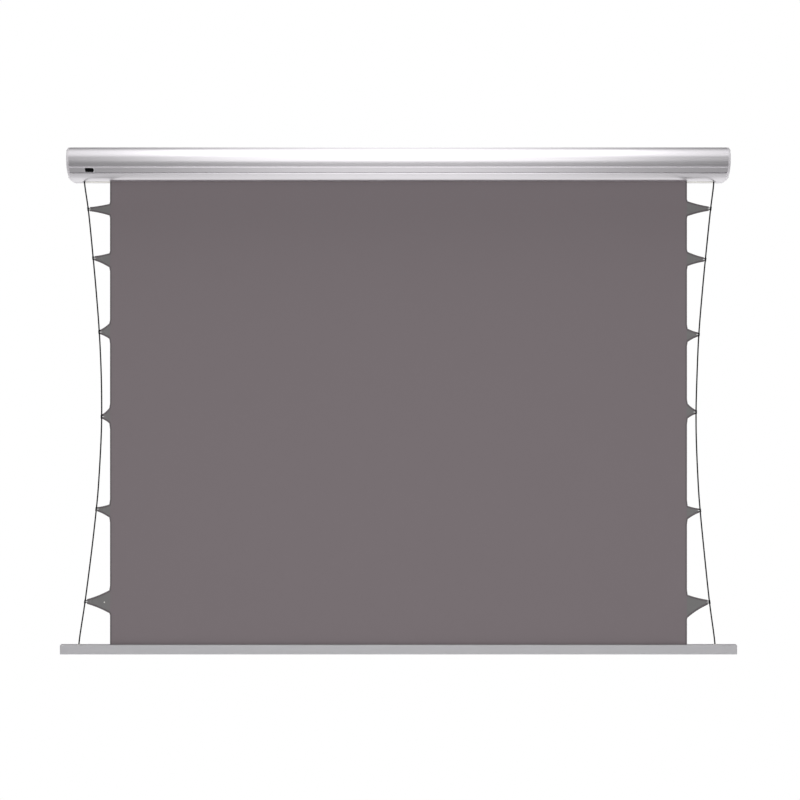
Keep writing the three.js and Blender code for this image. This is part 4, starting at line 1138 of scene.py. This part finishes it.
class SCREEN_OT_sheet(ScreenOperator, Operator):
    """Build the sheet, its hem, its bound edges and the turns left on the roller"""

    bl_idname = "projector_screen.sheet"
    bl_label = "Sheet"

    def build(self, screen):
        sheet = screen.sheet
        panel = self.stretch("sheet_panel", sheet, PANEL_FOOT, HEAD_FOOT, 61, ["screen_sheet"])
        head = self.stretch("sheet_head", sheet, HEAD_FOOT, SHEET_HIGH.z, 5)
        # The photograph's case mirrors a white studio and no grey sheet
        panel.visible_glossy = False
        ring = [arc(HEM, radius, 0, 360, 32)[:-1] for radius in (HEM_RADIUS, HEM_BORE)]
        tunnel = extruded(ring, [-SHEET_EDGE, SHEET_EDGE])
        hem = make_piece("sheet_hem", tunnel, "bottom_bar", "sheet", looks=["sheet_back"])
        bindings = [self.binding(name, sheet) for name in SIDES]
        self.roll(sheet)

    def stretch(self, name, sheet, foot, top, rows, replaces=()):
        """A stretch of the flat sheet between two heights: grey in front, black elsewhere."""
        half = sheet.thickness / 2
        heights = np.linspace(foot, top, rows)
        front = np.column_stack([np.full(rows, SHEET_Y - half), heights[::-1]])
        rear = np.column_stack([np.full(rows, SHEET_Y + half), heights])
        shell = extruded([np.vstack([front, rear])], np.linspace(-SHEET_EDGE, SHEET_EDGE, 73))
        piece = make_piece(name, shell, "housing", "sheet", replaces, looks=["sheet", "sheet_back"])
        normals = np.zeros(3 * len(piece.data.polygons), np.float32)
        piece.data.polygons.foreach_get("normal", normals)
        not_front = normals.reshape(-1, 3)[:, 1] > -0.5
        piece.data.polygons.foreach_set("material_index", not_front.astype(np.int32))
        return roll_up(piece)

    def binding(self, name, sheet):
        """Tape round the free edges: down each tab's lower edge from its tip to the sheet, down the
        sheet's side, and out along the next tab's upper edge. It stands a little proud of the sheet
        on both faces, and ends inside the case and the bar."""
        thickness, setback, tucked = 1.2 * MM, 0.2 * MM, 4 * MM
        count = len(TABS[name])
        edge_x = SIDES[name] * (SHEET_EDGE - sheet.binding / 2)
        uppers = [tab_edge(name, number, 1, sheet)[:-2] for number in range(count)]
        lowers = [tab_edge(name, number, -1, sheet)[:-2][::-1] for number in range(count)]
        starts = [np.array([[edge_x, SHEET_HIGH.z]]), *lowers]
        ends = [*uppers, np.array([[edge_x, BAR_TOP - tucked]])]
        shells = []
        for start, end in zip(starts, ends):
            heights = np.linspace(start[-1, 1], end[0, 1], 14)[1:-1]
            straight = np.column_stack([np.full(len(heights), edge_x), heights])
            path = np.vstack([start, straight, end])
            shells.append(ribbon(path, sheet.binding, thickness, SHEET_Y + setback))
        return roll_up(
            make_piece(f"edge_binding_{name}", shells, "housing", "tab_cloth", looks=["binding"], steep=60)
        )

    def roll(self, sheet):
        """The turns that stay on the roller: a spiral that loses one thickness a turn, its outer end
        at the back where the sheet leaves it."""
        gap = 0.06 * MM
        turn = np.linspace(0, ROLL_TURNS, 241)[:, None]
        radius = ROLL_HIGH.y - ROLLER[0] - sheet.thickness * turn
        spokes = np.hstack([np.cos(2 * np.pi * turn), np.sin(2 * np.pi * turn)])
        outside = ROLLER + radius * spokes
        inside = ROLLER + (radius - sheet.thickness + gap) * spokes
        shell = extruded([np.vstack([outside, inside[::-1]])], [-SHEET_EDGE, SHEET_EDGE])
        roll = make_piece("rolled_sheet", shell, "roller", "sheet", ["fabric_roll"], looks=["sheet_back"])


class SCREEN_OT_tabs(ScreenOperator, Operator):
    """Build the tension tabs, the loops round the cords and the one rivet"""

    bl_idname = "projector_screen.tabs"
    bl_label = "Tabs"

    def build(self, screen):
        for name in SIDES:
            for number in range(len(TABS[name])):
                self.plate(name, number, screen.sheet)
                self.loops(name, number, screen.sheet)
        self.rivet()

    def plate(self, name, number, sheet):
        """A tab: between its two edge curves, in an upper and a lower half that part at the notch.

        The notch's half height grows evenly from nothing at its point to its full height at the
        cord. The tension leaves one sine wave between the notch and each edge.
        """
        rows = 7
        tip = tab_tip(name, number)
        share = np.linspace(0, 1, rows)
        shells = []
        for way in (1, -1):
            edge = tab_edge(name, number, way, sheet, 36)
            edge = np.vstack([[edge[0, 0] - SIDES[name] * sheet.lap, edge[0, 1]], edge])
            to_cord = np.abs(cord_x(name, tip) - edge[:, :1])
            parted = np.clip(1 - to_cord / sheet.notch_length, 0, 1) * sheet.notch_height / 2
            start = tip + way * parted
            z = start + (edge[:, 1:] - start) * share
            x = np.broadcast_to(edge[:, :1], z.shape)
            wave = WAVE * np.sin(2 * np.pi * share) * np.clip(to_cord / WAVE_END, 0, 1)
            grid = np.stack([x, SHEET_Y + sheet.thickness + wave, z], axis=-1)
            shells.append(Shell(grid, [grid_quads(len(edge), rows)]))
        plate = make_piece(
            f"tab_plate_{name}_{number + 1}", shells, "housing", "tab_cloth",
            [f"tab_{name}_{number + 1}"], welded=True,
        )
        roll_up(thicken(plate, TAB_THICKNESS))

    def loops(self, name, number, sheet):
        """A tab's two loops: a sleeve round the cord, open towards the sheet at the notch."""
        stations, sides = 13, 24
        tip = tab_tip(name, number)
        z = tip + np.linspace(-0.5, 0.5, stations) * sheet.loop_length
        x = cord_x(name, z)
        path = np.column_stack([x, np.full(stations, CORD_Y), z])
        rings = rings_round(path, LOOP_RADIUS, (0, 1, 0), sides)
        quads = grid_quads(stations, sides, closed=True)
        centres = rings.reshape(-1, 3)[quads].mean(axis=1)
        inward = SIDES[name] * (np.repeat(x[:-1] + x[1:], sides) / 2 - centres[:, 0])
        opened = (inward > 0.4 * LOOP_RADIUS) & (np.abs(centres[:, 2] - tip) < 0.45 * sheet.notch_height)
        shell = Shell(rings, [quads[~opened]])
        sleeve = make_piece(
            f"tab_loops_{name}_{number + 1}", shell, "housing", "tab_cloth", looks=["loop"]
        )
        roll_up(thicken(sleeve, LOOP_THICKNESS))

    def rivet(self):
        """A small pale rivet through the lowest tab on the left: a stem, and a domed head with a
        dimple in its middle."""
        inset, drop = 20 * MM, 2.5 * MM
        stem, head = 1.2 * MM, 2.3 * MM
        centre = (-SHEET_EDGE - inset, SHEET_Y, tab_tip("left", 5) - drop)
        profile = [
            (stem, -0.4 * MM), (head, -0.4 * MM), (head, 0.1 * MM), (1.9 * MM, 0.7 * MM), (stem, 0.8 * MM),
            (0.9 * MM, 0.3 * MM), (0.05 * MM, 0.25 * MM),
        ]
        shell = lofted(turned(profile, centre, (0, -1, 0), 32))
        roll_up(make_piece("tab_rivet", shell, "housing", "nylon"))


class SCREEN_OT_cords(ScreenOperator, Operator):
    """Build the tension cords and their turns on the roller"""

    bl_idname = "projector_screen.cords"
    bl_label = "Cords"

    def build(self, screen):
        radius = screen.cord.radius
        turn = 2 * np.pi * WRAP_TURNS * np.linspace(0, 1, 121)
        for name, side in SIDES.items():
            hanging = tube(cord_path(name, 24), radius, (0, 1, 0))
            cord = make_piece(f"tension_cord_{name}", hanging, "housing", "cord", [f"cord_{name}"])
            roll_up(cord)
            start = SHEET_EDGE + CORD_TOP_OUTSET[name] * MM
            winding = np.column_stack(
                [
                    side * (start + WRAP_PITCH * turn / (2 * np.pi)),
                    ROLLER[0] + CORD_CIRCLE * np.cos(turn),
                    ROLLER[1] + CORD_CIRCLE * np.sin(turn),
                ]
            )
            wound = tube(winding, min(radius, 0.49 * WRAP_PITCH), (1, 0, 0))
            make_piece(f"cord_turns_{name}", wound, "roller", "cord", [f"cord_wrap_{name}"])


class SCREEN_OT_bottom_bar(ScreenOperator, Operator):
    """Build the bar at the foot and its end plugs"""

    bl_idname = "projector_screen.bottom_bar"
    bl_label = "Bottom bar"

    def rounded(self, inset, corner, steps=8):
        """The bar's outline in (y, z): a rectangle drawn in by an inset, with rounded corners, that
        starts and ends in the middle of its top."""
        front, back = BAR_LOW.y + inset, BAR_HIGH.y - inset
        foot, top = BAR_BOTTOM + inset, BAR_TOP - inset
        centres = [
            (front + corner, top - corner, 90), (front + corner, foot + corner, 180),
            (back - corner, foot + corner, 270), (back - corner, top - corner, 360),
        ]
        return np.vstack([arc((y, z), corner, turn, turn + 90, steps) for y, z, turn in centres])

    def keyhole(self, outline, top, half, radius, steps):
        """An outline with a keyhole let in from its top: a mouth of half the given width on each
        side, and below it a circle round the hem's rod."""
        turn = math.degrees(math.acos(half / radius))
        circle = arc(HEM, radius, turn, -180 - turn, steps)
        return np.vstack([[(HEM[0] - half, top)], outline, [(HEM[0] + half, top)], circle])

    def build(self, screen):
        bar = screen.bar
        bore, collar, neck = 3.9 * MM, 5.5 * MM, 1.6 * MM
        mouth = bar.mouth / 2
        outer = self.keyhole(self.rounded(0, bar.corner), BAR_TOP, mouth, bore, 40)
        inside = self.rounded(bar.wall, bar.corner / 2)
        inner = self.keyhole(inside, BAR_TOP - bar.wall, mouth + neck, collar, 36)
        shell = extruded([outer, inner], [-BAR_END, BAR_END])
        ease_edges(make_piece("foot_bar", shell, "bottom_bar", "bar_metal", ["bottom_bar"]), 0.25 * MM)
        self.plugs(bar)

    def plugs(self, bar):
        """End plugs: the bar's outline with its outer edge rounded, and a block inside the bar, under
        the keyhole's collar."""
        edge, gap, chamfer, root, below = 1.2 * MM, 0.05 * MM, 0.25 * MM, 1 * MM, 5.8 * MM
        inset = bar.wall + 0.6 * MM
        front, back = BAR_LOW.y + inset, BAR_HIGH.y - inset
        foot, top = BAR_BOTTOM + inset, HEM[1] - below
        block = np.array([(front, foot), (back, foot), (back, top), (front, top)])
        for name, side in SIDES.items():
            plate = rounded_plate(
                lambda inset: self.rounded(inset, bar.corner), side * BAR_END, gap, chamfer,
                bar.cap, edge, 5,
            )
            low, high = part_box(f"bar_cap_{name}")
            inner_x = low.x if side > 0 else high.x
            plug = extruded([block], [inner_x, side * (BAR_END + root)])
            make_piece(f"bar_plug_{name}", [plate, plug], "bottom_bar", "bar_plug", [f"bar_cap_{name}"])


class SCREEN_OT_stage(ScreenOperator, Operator):
    """Set up the floor, the lamps, the surroundings and the camera"""

    bl_idname = "projector_screen.stage"
    bl_label = "Studio"

    def build(self, screen):
        studio = screen.studio
        self.floor(studio)
        self.lamps(studio)
        self.surroundings(studio)
        self.camera(studio)

    def floor(self, studio):
        """A round pale floor. The camera sees it white, with a share of its own shading, which
        carries the shadow and fades out towards the rim. Polished surfaces see it white as well,
        a little darker towards its sides."""
        radii, sides = (0.01, 0.8, 1.6, 2.4), 96
        rings = turned([(radius, 0) for radius in radii], (0, 0, studio.floor), (0, 0, 1), sides)
        quads = grid_quads(len(radii), sides, closed=True)
        mesh = bpy.data.meshes.new("studio_floor")
        mesh.from_pydata(rings.reshape(-1, 3).tolist(), [], quads.tolist())
        floor = bpy.data.objects.new("studio_floor", mesh)
        bpy.context.scene.collection.objects.link(floor)
        material = bpy.data.materials.new("pale studio floor")
        material.use_nodes = True
        tree = material.node_tree
        tree.nodes.clear()
        path = add_node(tree, "ShaderNodeLightPath").outputs
        place = add_node(tree, "ShaderNodeTexCoord").outputs["Object"]
        axes = add_node(tree, "ShaderNodeSeparateXYZ", {"Vector": place}).outputs
        flat = add_node(tree, "ShaderNodeVectorMath", {0: place, 1: (1, 1, 0)}, operation="MULTIPLY")
        reach = add_node(tree, "ShaderNodeVectorMath", {0: flat.outputs[0]}, operation="LENGTH")
        aside = add_node(tree, "ShaderNodeMath", {0: axes["X"]}, operation="ABSOLUTE")
        known = {
            "mirror": path["Is Glossy Ray"],
            "camera": path["Is Camera Ray"],
            "reach": reach.outputs["Value"],
            "aside": aside.outputs[0],
            "towards wall": axes["Y"],
        }
        ramps = {
            "fade": ("reach", 1.0, 2.3, 0.8, 1.0),
            "sides": ("towards wall", -1.4, -0.1, 0.3, 0.6, "linear"),
            "dimmed": ("aside", 0.2, 2.0, 1.0, "sides"),
        }
        blends = {
            "seen": ("camera", 0.0, "fade"),
            "shown white": ("mirror", "seen", 1.0),
            "level": ("mirror", 1.0, "dimmed"),
        }
        add_levels(tree, known, ramps, blends)
        matt = add_node(tree, "ShaderNodeBsdfDiffuse", {"Color": (0.9, 0.9, 0.9, 1)})
        white = add_node(tree, "ShaderNodeEmission", {"Color": (1, 1, 1, 1), "Strength": known["level"]})
        both = {0: known["shown white"], 1: matt.outputs[0], 2: white.outputs[0]}
        mixed = add_node(tree, "ShaderNodeMixShader", both)
        add_node(tree, "ShaderNodeOutputMaterial", {"Surface": mixed.outputs[0]})
        mesh.materials.append(material)

    def lamps(self, studio):
        """A large softbox over the front, which only polished surfaces see, a fill from the camera's
        side, and one lamp for the back. Polished surfaces see neither of these two."""
        for name, power, place, aim, size in (
            ("softbox", studio.softbox, (0, -1.95, 1.5), (0, -0.61, -0.33), (2.6, 5.1)),
            ("fill", studio.fill, (0, -5.2, -1.8), (0, 0, -0.9), (3.2, 1.8)),
            ("rear lamp", studio.rear, (0.6, 3.2, -0.9), (0, 0, -0.8), (3.0, 2.0)),
        ):
            light = bpy.data.lights.new(name, "AREA")
            light.shape = "RECTANGLE"
            light.size, light.size_y = size
            light.energy = power
            lamp = bpy.data.objects.new(name, light)
            lamp.location = place
            lamp.rotation_euler = (Vector(aim) - Vector(place)).to_track_quat("-Z", "Y").to_euler()
            lamp.visible_camera = False
            lamp.visible_glossy = name == "softbox"
            lamp.visible_diffuse = name != "softbox"
            bpy.context.scene.collection.objects.link(lamp)

    def surroundings(self, studio):
        """White to the camera and through glass. Polished surfaces see a studio that is white above
        and below, and darker at the horizon and towards its sides. Matt surfaces get even light
        from below the horizon and from straight above, so that the case casts no shade on the
        sheet."""
        world = bpy.data.worlds.new("white studio")
        bpy.context.scene.world = world
        world.use_nodes = True
        tree = world.node_tree
        tree.nodes.clear()
        path = add_node(tree, "ShaderNodeLightPath").outputs
        way = add_node(tree, "ShaderNodeTexCoord").outputs["Generated"]
        axes = add_node(tree, "ShaderNodeSeparateXYZ", {"Vector": way}).outputs
        aside = add_node(tree, "ShaderNodeMath", {0: axes["X"]}, operation="ABSOLUTE")
        known = {
            "mirror": path["Is Glossy Ray"],
            "camera": path["Is Camera Ray"],
            "glass": path["Is Transmission Ray"],
            "aside": aside.outputs[0],
            "towards wall": axes["Y"],
            "up": axes["Z"],
        }
        ramps = {
            "far aside": ("aside", 0.42, 0.7, 0.0, 1.0),
            "dim horizon": ("aside", 0.0, 0.23, 1.0, 0.05, "linear"),
            "sky": ("aside", 0.1, 0.28, 1.1, 0.62),
            "ground's sides": ("towards wall", -0.5, 0.1, 0.25, 0.8),
            "ground": ("aside", 0.0, 0.24, 1.0, "ground's sides"),
            "share of sky": ("up", 0.0, 0.55, 0.0, 1.0),
            "wall's sides": ("aside", 0.0, 0.24, 1.0, 0.18),
            "wall": ("towards wall", -0.35, 0.6, 1.0, "wall's sides"),
            "share of ground": ("up", -0.75, -0.4, 1.0, 0.0),
            "behind": ("towards wall", 0.0, 0.4, 0.0, 1.0),
            "low": ("up", -0.1, 0.15, 1.0, 0.0),
            "even light": ("up", -0.15, 0.15, studio.low_light, studio.high_light),
            "straight above": ("up", 0.78, 1.0, 0.0, 1.0),
        }
        blends = {
            "horizon": ("far aside", "dim horizon", 0.75),
            "above": ("share of sky", "horizon", "sky"),
            "front": ("wall", 0.0, "above"),
            "front and ground": ("share of ground", "front", "ground"),
            "low behind": ("behind", 0.0, "low"),
            "mirrored": ("low behind", "front and ground", 0.9),
            "ambient": ("straight above", "even light", studio.high_light + studio.top_light),
            "lit": ("mirror", "ambient", "mirrored"),
            "through glass": ("glass", "lit", 1.0),
            "level": ("camera", "through glass", 1.0),
        }
        add_levels(tree, known, ramps, blends)
        background = add_node(
            tree, "ShaderNodeBackground", {"Color": (1, 1, 1, 1), "Strength": known["level"]}
        )
        add_node(tree, "ShaderNodeOutputWorld", {"Surface": background.outputs[0]})
        bpy.context.scene.view_settings.view_transform = "Standard"

    def camera(self, studio):
        """Level and straight on, a little right of the middle."""
        lens = bpy.data.cameras.new("camera")
        lens.sensor_width = 36
        lens.sensor_fit = "HORIZONTAL"
        lens.lens = studio.focal
        lens.clip_end = 100
        camera = bpy.data.objects.new("camera", lens)
        camera.location = (studio.aside, -studio.distance, studio.height)
        camera.rotation_euler = (math.radians(90), 0, 0)
        bpy.context.scene.collection.objects.link(camera)
        bpy.context.scene.camera = camera


class SCREEN_PT_panel(Panel):
    """Lists the pieces in the sidebar"""

    bl_label = "Projector Screen"
    bl_idname = "SCREEN_PT_panel"
    bl_space_type = "VIEW_3D"
    bl_region_type = "UI"
    bl_category = "Projector Screen"

    def draw(self, context):
        screen = context.scene.projector_screen
        for operator in OPERATORS:
            self.layout.operator(operator.bl_idname)
        for group in (screen.case, screen.sheet, screen.cord, screen.bar, screen.studio):
            box = self.layout.box()
            for name in group.__annotations__:
                box.prop(group, name)


OPERATORS = (
    SCREEN_OT_stage,
    SCREEN_OT_frame_finishes,
    SCREEN_OT_case,
    SCREEN_OT_end_caps,
    SCREEN_OT_window,
    SCREEN_OT_slot_trim,
    SCREEN_OT_sheet,
    SCREEN_OT_tabs,
    SCREEN_OT_cords,
    SCREEN_OT_bottom_bar,
)
GROUPS = (CaseSettings, SheetSettings, CordSettings, BarSettings, StudioSettings, ScreenSettings)


def register():
    """Makes the settings, operators and panel known."""
    for kind in (*GROUPS, *OPERATORS, SCREEN_PT_panel):
        bpy.utils.register_class(kind)
    bpy.types.Scene.projector_screen = PointerProperty(type=ScreenSettings)


def unregister():
    """Takes them back out."""
    del bpy.types.Scene.projector_screen
    for kind in reversed((*GROUPS, *OPERATORS, SCREEN_PT_panel)):
        bpy.utils.unregister_class(kind)


def main():
    """Builds everything in order."""
    register()
    for operator in OPERATORS:
        group, name = operator.bl_idname.split(".")
        getattr(getattr(bpy.ops, group), name)()


if __name__ == "__main__":
    main()
